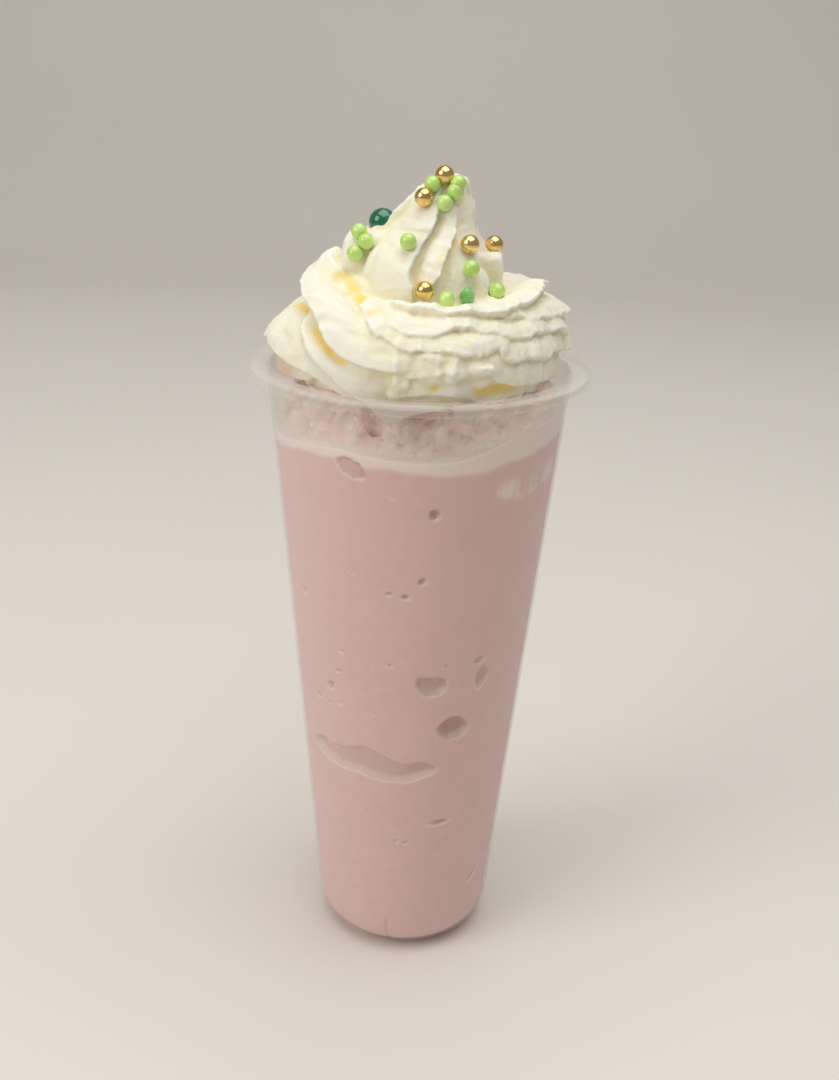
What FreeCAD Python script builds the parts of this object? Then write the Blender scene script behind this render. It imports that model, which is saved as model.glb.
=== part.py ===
import FreeCAD, Part
import math
import os
import Sketcher
from FreeCAD import Vector

# A tall clear cup of pink frozen slush with a piped swirl of whipped cream.
# Millimetres, +Z up, origin on the cup's axis at the face it stands on.
# The front of the drink is towards -Y.

os.makedirs("parts", exist_ok=True)
doc = FreeCAD.newDocument("bubble_tea")

# ---------------------------------------------------------------- sizes
sheet = doc.addObject("Spreadsheet::Sheet", "Sizes")
SIZES = [
    # the cup: a 95 mm rim, 700 ml injection-moulded cup with a rounded foot
    ("cup_height", 182.0),
    ("rim_radius", 47.5),
    ("rim_thickness", 0.9),
    ("lip_drop", 2.4),
    ("lip_wall", 0.9),
    ("rim_edge_round", 0.4),
    ("wall", 0.9),
    ("body_top_radius", 42.6),
    ("body_foot_radius", 26.05),
    ("foot_round", 11.3),
    ("recess_radius", 11.0),
    ("recess_depth", 0.7),
    # stacking ribs inside the rounded foot
    ("rib_count", 3),
    ("rib_thickness", 0.7),
    ("rib_top", 13.0),
    ("rib_inset", 3.4),
    ("rib_turn", 20.5),
    # the frozen drink: where it meets the wall, and its mounded froth
    ("fill_level", 165.0),
    ("fill_tilt", 2.2),
    ("mound_rise", 12.5),
    ("mound_shoulder", 5.5),
    ("froth_bump", 0.9),
    # the cream: a fat lower coil and a leaning peak
    ("cream_foot", 170.0),
    ("cream_tip", 233.0),
    ("coil_radius", 38.6),
    ("coil_top", 205.0),
    ("knob_lift", 8.0),
    ("left_flare", 3.2),
    ("peak_radius", 20.5),
    ("peak_lean", 8.0),
    ("ridge_depth", 1.7),
    ("ridge_pitch", 6.4),
    ("peak_ridges", 7),
    ("peak_ridge_depth", 1.9),
    ("peak_twist", 95.0),
    # the largest topping, a glossy ball on the peak's far side
    ("ball_radius", 3.8),
    ("ball_across", -11.4),
    ("ball_back", 4.5),
    ("ball_height", 219.4),
]
for row, (alias, value) in enumerate(SIZES, start=1):
    sheet.set("A%d" % row, alias)
    sheet.set("B%d" % row, str(value))
    sheet.setAlias("B%d" % row, alias)
doc.recompute()
V = {alias: float(sheet.get(alias)) for alias, _ in SIZES}

# radius of the flat that the cup stands on, from the arc that is tangent to
# the floor and to the slanted wall
row = len(SIZES) + 1
sheet.set("A%d" % row, "foot_flat")
sheet.set(
    "B%d" % row,
    "=body_foot_radius + foot_round * (body_top_radius - body_foot_radius) / cup_height"
    " - foot_round * sqrt(1 + ((body_top_radius - body_foot_radius) / cup_height)^2)",
)
sheet.setAlias("B%d" % row, "foot_flat")
doc.recompute()
V["foot_flat"] = float(sheet.get("foot_flat"))

# expressions for the places where the wall's lines meet
SLOPE = "((Sizes.body_top_radius - Sizes.body_foot_radius) / Sizes.cup_height)"
slope = (V["body_top_radius"] - V["body_foot_radius"]) / V["cup_height"]


def outer_at(height):
    """Expression: the outer wall's radius at a height."""
    return "(Sizes.body_foot_radius + %s * (%s))" % (SLOPE, height)


def inner_at(height):
    return "(%s - Sizes.wall)" % outer_at(height)


def wall_radius(z):
    """The wall's inner radius at height z."""
    return V["body_foot_radius"] + slope * z - V["wall"]


# ---------------------------------------------------------------- helpers
def plane(body, role):
    return next(f for f in body.Origin.OriginFeatures if f.Role == role)


def outline(body, name, points):
    """A closed sketch on the body's XZ plane. Each point is a pair of
    expressions (across, up); a zero lies on the axis of that name. A point
    with a third entry starts an arc about the foot's centre: its radius."""
    sk = body.newObject("Sketcher::SketchObject", name)
    sk.AttachmentSupport = [(plane(body, "XZ_Plane"), "")]
    sk.MapMode = "FlatFace"
    doc.recompute()
    n = len(points)
    values = [
        tuple(0.0 if e == "0" else float(sk.evalExpression(e)) for e in p[:2])
        for p in points
    ]
    for i in range(n):
        a, b = values[i], values[(i + 1) % n]
        if len(points[i]) == 3:
            centre = Vector(V["foot_flat"], V["foot_round"], 0)
            r = float(sk.evalExpression(points[i][2]))
            ends = [math.atan2(p[1] - centre.y, p[0] - centre.x) for p in (a, b)]
            arc = Part.ArcOfCircle(Part.Circle(centre, Vector(0, 0, 1), r), *ends)
            sk.addGeometry(arc, False)
        else:
            sk.addGeometry(
                Part.LineSegment(Vector(a[0], a[1], 0), Vector(b[0], b[1], 0)), False
            )
    for i in range(n):
        sk.addConstraint(Sketcher.Constraint("Coincident", i, 2, (i + 1) % n, 1))
        if len(points[i]) == 3:
            r = float(sk.evalExpression(points[i][2]))
            k = sk.addConstraint(Sketcher.Constraint("Radius", i, r))
            sk.setExpression("Constraints[%d]" % k, points[i][2])
    for i, (p, v) in enumerate(zip(points, values)):
        for kind, axis, e, value in (
            ("DistanceX", -2, p[0], v[0]),
            ("DistanceY", -1, p[1], v[1]),
        ):
            if e == "0":
                sk.addConstraint(Sketcher.Constraint("PointOnObject", i, 1, axis))
            else:
                k = sk.addConstraint(Sketcher.Constraint(kind, -1, 1, i, 1, value))
                sk.setExpression("Constraints[%d]" % k, e)
    return sk


def inside(top):
    """The outline of the cup's inside, with its rounded foot, up to a height."""
    steep = "sqrt(1 + %s^2)" % SLOPE
    arc = "(Sizes.foot_round - Sizes.wall)"
    return [
        ("0", "Sizes.wall"),
        ("Sizes.foot_flat", "Sizes.wall", arc),
        (
            "Sizes.foot_flat + %s / %s" % (arc, steep),
            "Sizes.foot_round - %s * %s / %s" % (arc, SLOPE, steep),
        ),
        (inner_at(top), top),
        ("0", top),
    ]


def revolved(body, name, sk):
    feature = body.newObject("PartDesign::Revolution", name)
    feature.Profile = sk
    feature.ReferenceAxis = (sk, ["V_Axis"])
    feature.Angle = 360.0
    doc.recompute()
    return feature


def round_edges(body, base, name, chosen, size):
    """A fillet on the circular edges of base that chosen(radius, height) picks."""
    picked = []
    for i, e in enumerate(base.Shape.Edges, start=1):
        c = getattr(e, "Curve", None)
        if isinstance(c, Part.Circle) and chosen(c.Radius, c.Center.z):
            picked.append("Edge%d" % i)
    feature = body.newObject("PartDesign::Fillet", name)
    feature.Base = (base, picked)
    feature.setExpression("Radius", size)
    doc.recompute()
    return feature


def rib_points(reach):
    """The outline of one stacking rib in the rounded foot. Its outer corners
    follow the foot's arc, at reach outside the inner surface."""
    flat = "Sizes.foot_flat"
    arc = "(Sizes.foot_round - Sizes.wall + %s)" % reach
    pts = [("%s + 0.6" % flat, "Sizes.foot_round - %s" % arc)]
    for angle in (60, 30, 0):
        pts.append(
            (
                "%s + %s * cos(%d)" % (flat, arc, angle),
                "Sizes.foot_round - %s * sin(%d)" % (arc, angle),
            )
        )
    top = "Sizes.rib_top"
    pts.append(("%s + %s" % (inner_at(top), reach), top))
    pts.append(("%s - Sizes.rib_inset" % inner_at(top), top))
    pts.append(("%s + 0.6" % flat, "Sizes.wall + Sizes.rib_inset * 0.55"))
    return pts


# ---------------------------------------------------------------- the cup
cup = doc.addObject("PartDesign::Body", "CupBody")
cup.Label = "cup"
solid = revolved(
    cup,
    "CupBlank",
    outline(
        cup,
        "CupOutline",
        [
            ("0", "0"),
            (outer_at("0"), "0"),
            (outer_at("Sizes.cup_height - Sizes.rim_thickness"), "Sizes.cup_height - Sizes.rim_thickness"),
            ("Sizes.rim_radius - Sizes.lip_wall", "Sizes.cup_height - Sizes.rim_thickness"),
            ("Sizes.rim_radius - Sizes.lip_wall", "Sizes.cup_height - Sizes.lip_drop"),
            ("Sizes.rim_radius", "Sizes.cup_height - Sizes.lip_drop"),
            ("Sizes.rim_radius", "Sizes.cup_height"),
            ("0", "Sizes.cup_height"),
        ],
    ),
)
solid = round_edges(
    cup, solid, "FootRound", lambda r, z: abs(z) < 0.01 and r > 20, "Sizes.foot_round"
)
before = solid.Shape.Volume
hollow = outline(cup, "CupHollow", inside("Sizes.cup_height + 5"))
groove = cup.newObject("PartDesign::Groove", "Hollow")
groove.Profile = hollow
groove.ReferenceAxis = (hollow, ["V_Axis"])
groove.Angle = 360.0
doc.recompute()
if groove.Shape.Volume > 0.2 * before:
    raise SystemExit("the cup's hollow cut nothing")
solid = groove
recess = outline(
    cup,
    "RecessOutline",
    [
        ("0", "0"),
        ("Sizes.recess_radius + Sizes.recess_depth", "0"),
        ("Sizes.recess_radius", "Sizes.recess_depth"),
        ("0", "Sizes.recess_depth"),
    ],
)
groove = cup.newObject("PartDesign::Groove", "FootRecess")
groove.Profile = recess
groove.ReferenceAxis = (recess, ["V_Axis"])
groove.Angle = 360.0
doc.recompute()
if not groove.Shape.Volume < solid.Shape.Volume:
    raise SystemExit("the foot's recess cut nothing")
solid = round_edges(
    cup,
    groove,
    "RimRound",
    lambda r, z: z > V["cup_height"] - V["lip_drop"] - 0.01
    and r > V["rim_radius"] - 0.01,
    "Sizes.rim_edge_round",
)
rib_sketch = outline(cup, "RibOutline", rib_points("Sizes.wall / 2"))
rib = cup.newObject("PartDesign::Pad", "Rib")
rib.Profile = rib_sketch
rib.Midplane = True
rib.setExpression("Length", "Sizes.rib_thickness")
doc.recompute()
if not rib.Shape.Volume > solid.Shape.Volume:
    raise SystemExit("the rib added nothing")
ribs = cup.newObject("PartDesign::PolarPattern", "Ribs")
ribs.Originals = [rib]
ribs.Axis = (plane(cup, "Z_Axis"), "")
ribs.Angle = 360.0
ribs.setExpression("Occurrences", "Sizes.rib_count")
cup.Tip = ribs
cup.Placement = FreeCAD.Placement(Vector(0, 0, 0), FreeCAD.Rotation(Vector(0, 0, 1), V["rib_turn"]))
doc.recompute()

# ---------------------------------------------------------------- the drink
# It fills the cup's inside to above the froth, cut round the ribs.
fill = doc.addObject("PartDesign::Body", "FillBody")
fill.Label = "fill_blank"
solid = revolved(fill, "FillBlank", outline(fill, "FillOutline", inside("Sizes.cup_height + 2")))
slot_sketch = outline(fill, "RibSlotOutline", rib_points("Sizes.wall"))
slot = fill.newObject("PartDesign::Pocket", "RibSlot")
slot.Profile = slot_sketch
slot.Midplane = True
slot.setExpression("Length", "Sizes.rib_thickness")
doc.recompute()
if not slot.Shape.Volume < solid.Shape.Volume:
    raise SystemExit("the rib's slot cut nothing")
slots = fill.newObject("PartDesign::PolarPattern", "RibSlots")
slots.Originals = [slot]
slots.Axis = (plane(fill, "Z_Axis"), "")
slots.Angle = 360.0
slots.setExpression("Occurrences", "Sizes.rib_count")
fill.Tip = slots
fill.Placement = FreeCAD.Placement(Vector(0, 0, 0), FreeCAD.Rotation(Vector(0, 0, 1), V["rib_turn"]))
doc.recompute()


def smooth(a, b, x):
    """0 below a, 1 above b, eased between."""
    k = min(max((x - a) / (b - a), 0.0), 1.0)
    return k * k * (3 - 2 * k)


def froth_height(x, y):
    """Height of the froth's uneven surface over a point of the plan."""
    r = math.hypot(x, y)
    edge = wall_radius(V["fill_level"])
    # the level stands a little higher on the right
    level = V["fill_level"] + V["fill_tilt"] * 0.5 * (1 + x / edge)
    mound = V["mound_rise"] * (1 - smooth(edge - 2 * V["mound_shoulder"], edge + 0.5, r))
    bumps = (
        math.sin(0.31 * x + 1.1) * math.cos(0.27 * y - 0.6)
        + 0.7 * math.sin(0.52 * y + 0.23 * x + 2.0)
        + 0.5 * math.cos(0.71 * x - 0.35 * y)
    )
    return level + mound * (0.94 + 0.06 * math.sin(3 * math.atan2(y, x) + 0.8)) + V["froth_bump"] * bumps


# everything above the froth, as one block under a smooth surface
SPAN, STEPS = 46.0, 30
grid = [
    [
        Vector(x, y, froth_height(x, y))
        for y in [-SPAN + 2 * SPAN * j / STEPS for j in range(STEPS + 1)]
    ]
    for x in [-SPAN + 2 * SPAN * i / STEPS for i in range(STEPS + 1)]
]
surface = Part.BSplineSurface()
surface.interpolate(grid)
above = doc.addObject("Part::Feature", "AboveFroth")
above.Label = "above_froth"
above.Shape = surface.toShape().extrude(Vector(0, 0, 80))
above.Placement = FreeCAD.Placement()

drink = doc.addObject("Part::Cut", "DrinkCut")
drink.Label = "drink"
drink.Base = fill
drink.Tool = above


# ---------------------------------------------------------------- the cream
def between(table, z):
    """A value read off a table of (height, value), eased between its rows."""
    if z <= table[0][0]:
        return table[0][1]
    for (a, p), (b, q) in zip(table, table[1:]):
        if z <= b:
            k = (z - a) / (b - a)
            return p + (q - p) * k * k * (3 - 2 * k)
    return table[-1][1]


def cream_radius(turn, z):
    """Radius of the swirl about its leaning axis. turn is 0 at the front and
    grows to the right. The lower coil falls from a knob at the left to the
    front and runs level round the right and the back; its ridges follow it.
    The peak's ridges climb to the right."""
    coil, top, tip = V["coil_radius"], V["coil_top"], V["cream_tip"]
    side = math.sin(turn)
    left = max(-side, 0.0) ** 1.5
    right = max(side, 0.0) ** 1.5
    # the knob lifts the coil's shoulder at the left
    shoulder = top + V["knob_lift"] * left
    base = between(
        [
            (V["cream_foot"], coil - 6.5),
            (V["cup_height"] - 3, coil - 2.2 - 2.4 * right),
            (V["cup_height"] + 2, coil - 1.2 - 2.0 * right),
            (V["cup_height"] + 7, coil + V["left_flare"] * left),
            (shoulder - 8, coil - 2.2 - 3.0 * left + 1.8 * right),
            (shoulder + 1.5, V["peak_radius"] + 2.0 + 3.0 * left + 2.0 * right),
            (shoulder + 7, V["peak_radius"] - 2.0),
            (tip - 12, V["peak_radius"] * 0.62),
            (tip - 4, V["peak_radius"] * 0.42),
        ],
        z,
    )
    # the tip is a small dome
    if z > tip - 4:
        base *= math.sqrt(max(1 - ((z - tip + 4) / 4) ** 2, 0.015))
    on_coil = smooth(V["cream_foot"] + 4, V["cream_foot"] + 14, z) * (
        1 - smooth(shoulder - 3, shoulder + 3, z)
    )
    climb = 17.0 * left + 4.0 * (0.5 - 0.5 * math.cos(turn)) * right
    wave = math.cos(2 * math.pi * (z - climb) / V["ridge_pitch"])
    ridges = V["ridge_depth"] * on_coil * (0.55 * wave + 0.45 * wave * abs(wave))
    # a slow unevenness, as the coil was piped by hand
    ridges += on_coil * (0.8 * math.sin(3 * turn + 0.9) + 0.5 * math.sin(5 * turn - 0.14 * z))
    on_peak = smooth(shoulder, shoulder + 7, z) * (1 - smooth(tip - 5, tip, z))
    star = math.cos(
        V["peak_ridges"] * (turn - math.radians(V["peak_twist"]) * (z - top) / (tip - top))
    )
    ridges += V["peak_ridge_depth"] * on_peak * star * (1 - 0.5 * smooth(top, tip, z))
    return base + ridges


def cream_section(z, count=84):
    """One closed level curve of the swirl."""
    lean = smooth(V["coil_top"] - 8, V["cream_tip"], z)
    cx, cy = V["peak_lean"] * lean, 1.5 * lean
    pts = []
    for i in range(count):
        turn = 2 * math.pi * i / count
        r = cream_radius(turn, z)
        pts.append(Vector(cx + r * math.sin(turn), cy - r * math.cos(turn), z))
    curve = Part.BSplineCurve()
    # every level has the same knots, so that the loft stays light
    curve.interpolate(Points=pts, PeriodicFlag=True, Parameters=list(range(count + 1)))
    return Part.Wire([curve.toShape()])


# even levels up to the tip's dome, then closer ones over it
even, dome = 35, 6
heights = [
    V["cream_foot"] + (V["cream_tip"] - 4 - V["cream_foot"]) * i / (even - 1)
    for i in range(even)
]
heights += [
    V["cream_tip"] - 4 + 4 * math.sin(math.pi / 2 * i / dome) for i in range(1, dome + 1)
]
sections = [cream_section(z) for z in heights]
swirl = doc.addObject("Part::Feature", "Swirl")
swirl.Label = "swirl_blank"
swirl.Shape = Part.makeLoft(sections, True, False)
swirl.Placement = FreeCAD.Placement()

ball = doc.addObject("Part::Sphere", "Ball")
ball.Label = "ball"
ball.setExpression("Radius", "Sizes.ball_radius")
ball.setExpression("Placement.Base.x", "Sizes.ball_across")
ball.setExpression("Placement.Base.y", "Sizes.ball_back")
ball.setExpression("Placement.Base.z", "Sizes.ball_height")

seated = doc.addObject("Part::Common", "SwirlOnFroth")
seated.Label = "swirl_on_froth"
seated.Base = swirl
seated.Tool = above
cream = doc.addObject("Part::Cut", "CreamCut")
cream.Label = "cream"
cream.Base = seated
cream.Tool = ball
doc.recompute()

# ---------------------------------------------------------------- writing
for o in doc.Objects:
    if {"Invalid", "Error"} & set(o.State):
        raise SystemExit("%s did not recompute: %s" % (o.Label, o.State))
nodes = [cup, drink, cream, ball]
for o in nodes:
    shape = o.Shape
    if shape.isNull() or not shape.isValid() or len(shape.Solids) != 1:
        raise SystemExit("%s has no single valid solid" % o.Label)
for o in nodes:
    o.Shape.exportStep("parts/%s.step" % o.Label)
    b = o.Shape.optimalBoundingBox(False)
    print(
        "%-8s %9.1f mm3  x %.1f..%.1f  y %.1f..%.1f  z %.1f..%.1f"
        % (o.Label, o.Shape.Volume, b.XMin, b.XMax, b.YMin, b.YMax, b.ZMin, b.ZMax)
    )
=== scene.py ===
import math

import bmesh
import bpy
import numpy as np
from mathutils import Matrix, Vector


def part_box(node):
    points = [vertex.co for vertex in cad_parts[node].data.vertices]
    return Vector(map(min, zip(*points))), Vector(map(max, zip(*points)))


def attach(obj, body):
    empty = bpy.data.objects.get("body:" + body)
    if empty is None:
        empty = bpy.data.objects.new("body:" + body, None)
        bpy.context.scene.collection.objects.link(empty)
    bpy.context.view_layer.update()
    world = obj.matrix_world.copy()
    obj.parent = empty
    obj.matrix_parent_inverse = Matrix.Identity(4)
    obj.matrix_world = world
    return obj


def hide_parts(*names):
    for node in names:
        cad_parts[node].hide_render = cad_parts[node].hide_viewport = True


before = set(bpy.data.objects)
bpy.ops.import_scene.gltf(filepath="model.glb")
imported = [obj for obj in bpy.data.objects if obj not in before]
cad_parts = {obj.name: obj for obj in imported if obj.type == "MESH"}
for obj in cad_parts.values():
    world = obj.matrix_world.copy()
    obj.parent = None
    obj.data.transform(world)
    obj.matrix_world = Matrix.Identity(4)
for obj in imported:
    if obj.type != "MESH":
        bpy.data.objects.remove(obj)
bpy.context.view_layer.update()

# Lengths below are millimetres in the row's frame and become metres in put().
# A turn is the angle about the cup's axis in degrees: 0 faces -Y, +90 faces +X.
CUP_LOW, CUP_HIGH = (np.array(c) * 1000 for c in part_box("cup"))
TOP = float(CUP_HIGH[2])
RIM = float(CUP_HIGH[0])
LIFT = TOP - 182.0
WALL = 0.9
FOOT_R, BODY_R = 26.05, 42.6
SLOPE = (BODY_R - FOOT_R) / TOP
ARC_C = (15.73, 11.3)


# ------------------------------------------------------------------ helpers
def interp(table, x, period=None):
    """Smooth reading of a table of (x, value)."""
    xs = np.array([a for a, _ in table], float)
    ys = np.array([b for _, b in table], float)
    x = np.asarray(x, float)
    if period:
        xs = np.concatenate([xs - period, xs, xs + period])
        ys = np.concatenate([ys, ys, ys])
    i = np.clip(np.searchsorted(xs, x) - 1, 0, len(xs) - 2)
    k = np.clip((x - xs[i]) / (xs[i + 1] - xs[i]), 0, 1)
    m = np.gradient(ys, xs)
    d = xs[i + 1] - xs[i]
    k2, k3 = k * k, k * k * k
    return (
        (2 * k3 - 3 * k2 + 1) * ys[i]
        + (k3 - 2 * k2 + k) * d * m[i]
        + (-2 * k3 + 3 * k2) * ys[i + 1]
        + (k3 - k2) * d * m[i + 1]
    )


def ease(a, b, x):
    k = np.clip((np.asarray(x, float) - a) / (b - a), 0, 1)
    return k * k * (3 - 2 * k)


def hashed(ix, iy, iz, seed):
    h = (
        ix.astype(np.int64) * 374761393
        + iy.astype(np.int64) * 668265263
        + iz.astype(np.int64) * 1440662683
        + seed * 1274126177
    ) & 0xFFFFFFFF
    h = ((h ^ (h >> 13)) * 1274126177) & 0xFFFFFFFF
    h = ((h ^ (h >> 15)) * 2246822519) & 0xFFFFFFFF
    h ^= h >> 16
    return h.astype(np.float64) / 2147483648.0 - 1.0


def noise(p, size, seed=0):
    """Smooth noise in -1..1 over points (n, 3), with features of this size."""
    q = np.asarray(p, float) / size
    f = np.floor(q)
    k = q - f
    k = k * k * k * (k * (k * 6 - 15) + 10)
    f = f.astype(np.int64)
    out = 0
    for a in (0, 1):
        for b in (0, 1):
            for c in (0, 1):
                w = (
                    (k[:, 0] if a else 1 - k[:, 0])
                    * (k[:, 1] if b else 1 - k[:, 1])
                    * (k[:, 2] if c else 1 - k[:, 2])
                )
                out = out + w * hashed(f[:, 0] + a, f[:, 1] + b, f[:, 2] + c, seed)
    return out


def line_noise(s, size, seed):
    s = np.asarray(s, float)
    return noise(np.stack([s, np.full_like(s, 0.37 * size), np.full_like(s, 0.71 * size)], 1), size, seed)


def quads(me_verts, me_faces, name):
    """Fast mesh from arrays of vertices in mm and quads."""
    verts = np.asarray(me_verts, np.float32) * 0.001
    faces = np.asarray(me_faces, np.int32)
    me = bpy.data.meshes.new(name)
    me.vertices.add(len(verts))
    me.vertices.foreach_set("co", verts.ravel())
    n = faces.shape[1]
    me.loops.add(faces.size)
    me.loops.foreach_set("vertex_index", faces.ravel())
    me.polygons.add(len(faces))
    me.polygons.foreach_set("loop_start", np.arange(0, faces.size, n, dtype=np.int32))
    me.polygons.foreach_set("loop_total", np.full(len(faces), n, np.int32))
    me.update(calc_edges=True)
    return me


def grid_faces(rows, cols, wrap):
    """Quads over a grid of rows x cols points, closed along the columns."""
    i = np.arange(rows - 1)[:, None]
    j = np.arange(cols if wrap else cols - 1)[None, :]
    k = (j + 1) % cols
    return np.stack(
        [i * cols + j, i * cols + k, (i + 1) * cols + k, (i + 1) * cols + j], -1
    ).reshape(-1, 4)


def put(name, me, material=None, smooth=True):
    ob = bpy.data.objects.new(name, me)
    bpy.context.scene.collection.objects.link(ob)
    if material:
        me.materials.append(material)
    if smooth:
        me.polygons.foreach_set("use_smooth", np.ones(len(me.polygons), bool))
    return ob


def attribute(me, name, values):
    a = me.attributes.new(name, "FLOAT", "POINT")
    a.data.foreach_set("value", np.asarray(values, np.float32))


def coords(me):
    v = np.empty(len(me.vertices) * 3, np.float32)
    me.vertices.foreach_get("co", v)
    return v.reshape(-1, 3).astype(float) * 1000


def set_coords(me, v):
    me.vertices.foreach_set("co", (np.asarray(v, np.float32) * 0.001).ravel())
    me.update()


def normals(me):
    v = np.empty(len(me.vertices) * 3, np.float32)
    me.vertices.foreach_get("normal", v)
    return v.reshape(-1, 3).astype(float)


def turned(turn):
    t = np.radians(turn)
    return np.sin(t), -np.cos(t)


# ---------------------------------------------------------------- materials
def linear(r, g, b):
    """Linear colour from 0-255 display values."""
    out = []
    for c in (r, g, b):
        c /= 255.0
        out.append(c / 12.92 if c <= 0.04045 else ((c + 0.055) / 1.055) ** 2.4)
    return (*out, 1.0)


class Nodes:
    def __init__(self, name):
        self.mat = bpy.data.materials.new(name)
        self.mat.use_nodes = True
        self.tree = self.mat.node_tree
        self.tree.nodes.clear()
        self.out = self.add("ShaderNodeOutputMaterial")

    def add(self, kind, **settings):
        n = self.tree.nodes.new(kind)
        for k, v in settings.items():
            setattr(n, k, v)
        return n

    def link(self, a, b):
        self.tree.links.new(a, b)

    def principled(self, **values):
        n = self.add("ShaderNodeBsdfPrincipled")
        for k, v in values.items():
            n.inputs[k.replace("_", " ")].default_value = v
        return n

    def coords(self):
        return self.add("ShaderNodeTexCoord").outputs["Object"]

    def noise(self, vector, scale, detail=2.0, rough=0.5, distortion=0.0):
        n = self.add("ShaderNodeTexNoise")
        n.inputs["Scale"].default_value = scale
        n.inputs["Detail"].default_value = detail
        n.inputs["Roughness"].default_value = rough
        n.inputs["Distortion"].default_value = distortion
        self.link(vector, n.inputs["Vector"])
        return n.outputs["Fac"]

    def ramp(self, value, stops, smooth=False):
        n = self.add("ShaderNodeValToRGB")
        if smooth:
            n.color_ramp.interpolation = "EASE"
        el = n.color_ramp.elements
        while len(el) > 1:
            el.remove(el[-1])
        for i, (pos, colour) in enumerate(stops):
            e = el[0] if i == 0 else el.new(pos)
            e.position = pos
            e.color = colour if len(colour) == 4 else (*colour, 1.0)
        self.link(value, n.inputs["Fac"])
        return n.outputs["Color"]

    def blend(self, factor, a, b, mode="MIX"):
        n = self.add("ShaderNodeMix", data_type="RGBA", blend_type=mode)
        for socket, value in ((n.inputs[0], factor), (n.inputs[6], a), (n.inputs[7], b)):
            if hasattr(value, "is_output"):
                self.link(value, socket)
            else:
                socket.default_value = value
        return n.outputs[2]

    def maths(self, op, a, b=None, clamp=False):
        n = self.add("ShaderNodeMath", operation=op, use_clamp=clamp)
        for socket, value in ((n.inputs[0], a), (n.inputs[1], b)):
            if value is None:
                continue
            if hasattr(value, "is_output"):
                self.link(value, socket)
            else:
                socket.default_value = value
        return n.outputs[0]

    def attr(self, name):
        return self.add("ShaderNodeAttribute", attribute_name=name).outputs["Fac"]

    def bump(self, height, strength, distance):
        n = self.add("ShaderNodeBump")
        n.inputs["Strength"].default_value = strength
        n.inputs["Distance"].default_value = distance
        self.link(height, n.inputs["Height"])
        return n.outputs["Normal"]


def cream_material():
    m = Nodes("whipped_cream")
    p = m.principled(Roughness=0.5, IOR=1.4)
    at = m.coords()
    fine = m.noise(at, 900.0, 3.0, 0.6)
    broad = m.noise(at, 55.0, 2.0, 0.5)
    white = m.ramp(broad, [(0.3, linear(245, 238, 212)), (0.7, linear(246, 240, 221))])
    # painted shade: a yellowish tint in the creases; painted highlight: a whiter tint on the crests
    shade_highlight = m.attr("crease_shade_crest_highlight")
    base = m.blend(m.maths("MULTIPLY", shade_highlight, 0.4, True), white, linear(246, 239, 192))
    edge = m.maths("MULTIPLY", shade_highlight, -0.8, True)
    base = m.blend(edge, base, linear(255, 252, 242))
    base = m.blend(m.attr("pool"), base, linear(249, 221, 124))
    # painted shade: a darker, warmer beige on the cream's low left, inside the rim
    base = m.blend(m.attr("painted_shade_low_left"), base, linear(230, 210, 190))
    m.link(base, p.inputs["Base Color"])
    p.inputs["Subsurface Weight"].default_value = 0.42
    p.inputs["Subsurface Radius"].default_value = (1.0, 0.93, 0.68)
    p.inputs["Subsurface Scale"].default_value = 0.001
    p.inputs["Specular IOR Level"].default_value = 0.4
    rough = m.ramp(fine, [(0.3, (0.52, 0.52, 0.52)), (0.7, (0.68, 0.68, 0.68))])
    m.link(rough, p.inputs["Roughness"])
    both = m.maths("ADD", fine, m.maths("MULTIPLY", m.noise(at, 2600.0, 1.0), 0.4))
    m.link(m.bump(m.maths("MULTIPLY", both, m.attr("rough")), 0.7, 0.0003), p.inputs["Normal"])
    m.link(p.outputs[0], m.out.inputs[0])
    return m.mat


def drink_material():
    m = Nodes("pink_slush")
    p = m.principled(Roughness=0.45, IOR=1.34)
    at = m.coords()
    broad = m.noise(at, 26.0, 3.0, 0.55)
    fine = m.noise(at, 420.0, 3.0, 0.6)
    speck = m.noise(at, 1500.0, 2.0, 0.6)
    pink = m.ramp(broad, [(0.3, linear(228, 188, 190)), (0.7, linear(233, 196, 194))])
    pink = m.blend(
        m.ramp(fine, [(0.35, (0, 0, 0)), (0.75, (1, 1, 1))]), pink, linear(232, 199, 196)
    )
    # painted shade: darker pink inside the air pockets and round their outline
    pink = m.blend(m.maths("MULTIPLY", m.attr("painted_hollow_shade"), 0.8, True), pink, linear(193, 138, 142))
    # painted highlight: lighter pink along the lower lip of each pocket
    pink = m.blend(m.maths("MULTIPLY", m.attr("lower"), 0.8, True), pink, linear(248, 228, 226))
    pink = m.blend(m.attr("band"), pink, linear(247, 231, 227))
    pink = m.blend(m.attr("smear"), pink, linear(248, 236, 232))
    m.link(pink, p.inputs["Base Color"])
    p.inputs["Subsurface Weight"].default_value = 0.15
    p.inputs["Subsurface Radius"].default_value = (1.0, 0.6, 0.5)
    p.inputs["Subsurface Scale"].default_value = 0.0012
    p.inputs["Specular IOR Level"].default_value = 0.3
    m.link(m.ramp(fine, [(0.3, (0.4, 0.4, 0.4)), (0.7, (0.55, 0.55, 0.55))]), p.inputs["Roughness"])
    m.link(m.bump(m.maths("ADD", fine, speck), 0.15, 0.0001), p.inputs["Normal"])
    m.link(p.outputs[0], m.out.inputs[0])
    return m.mat


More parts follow.
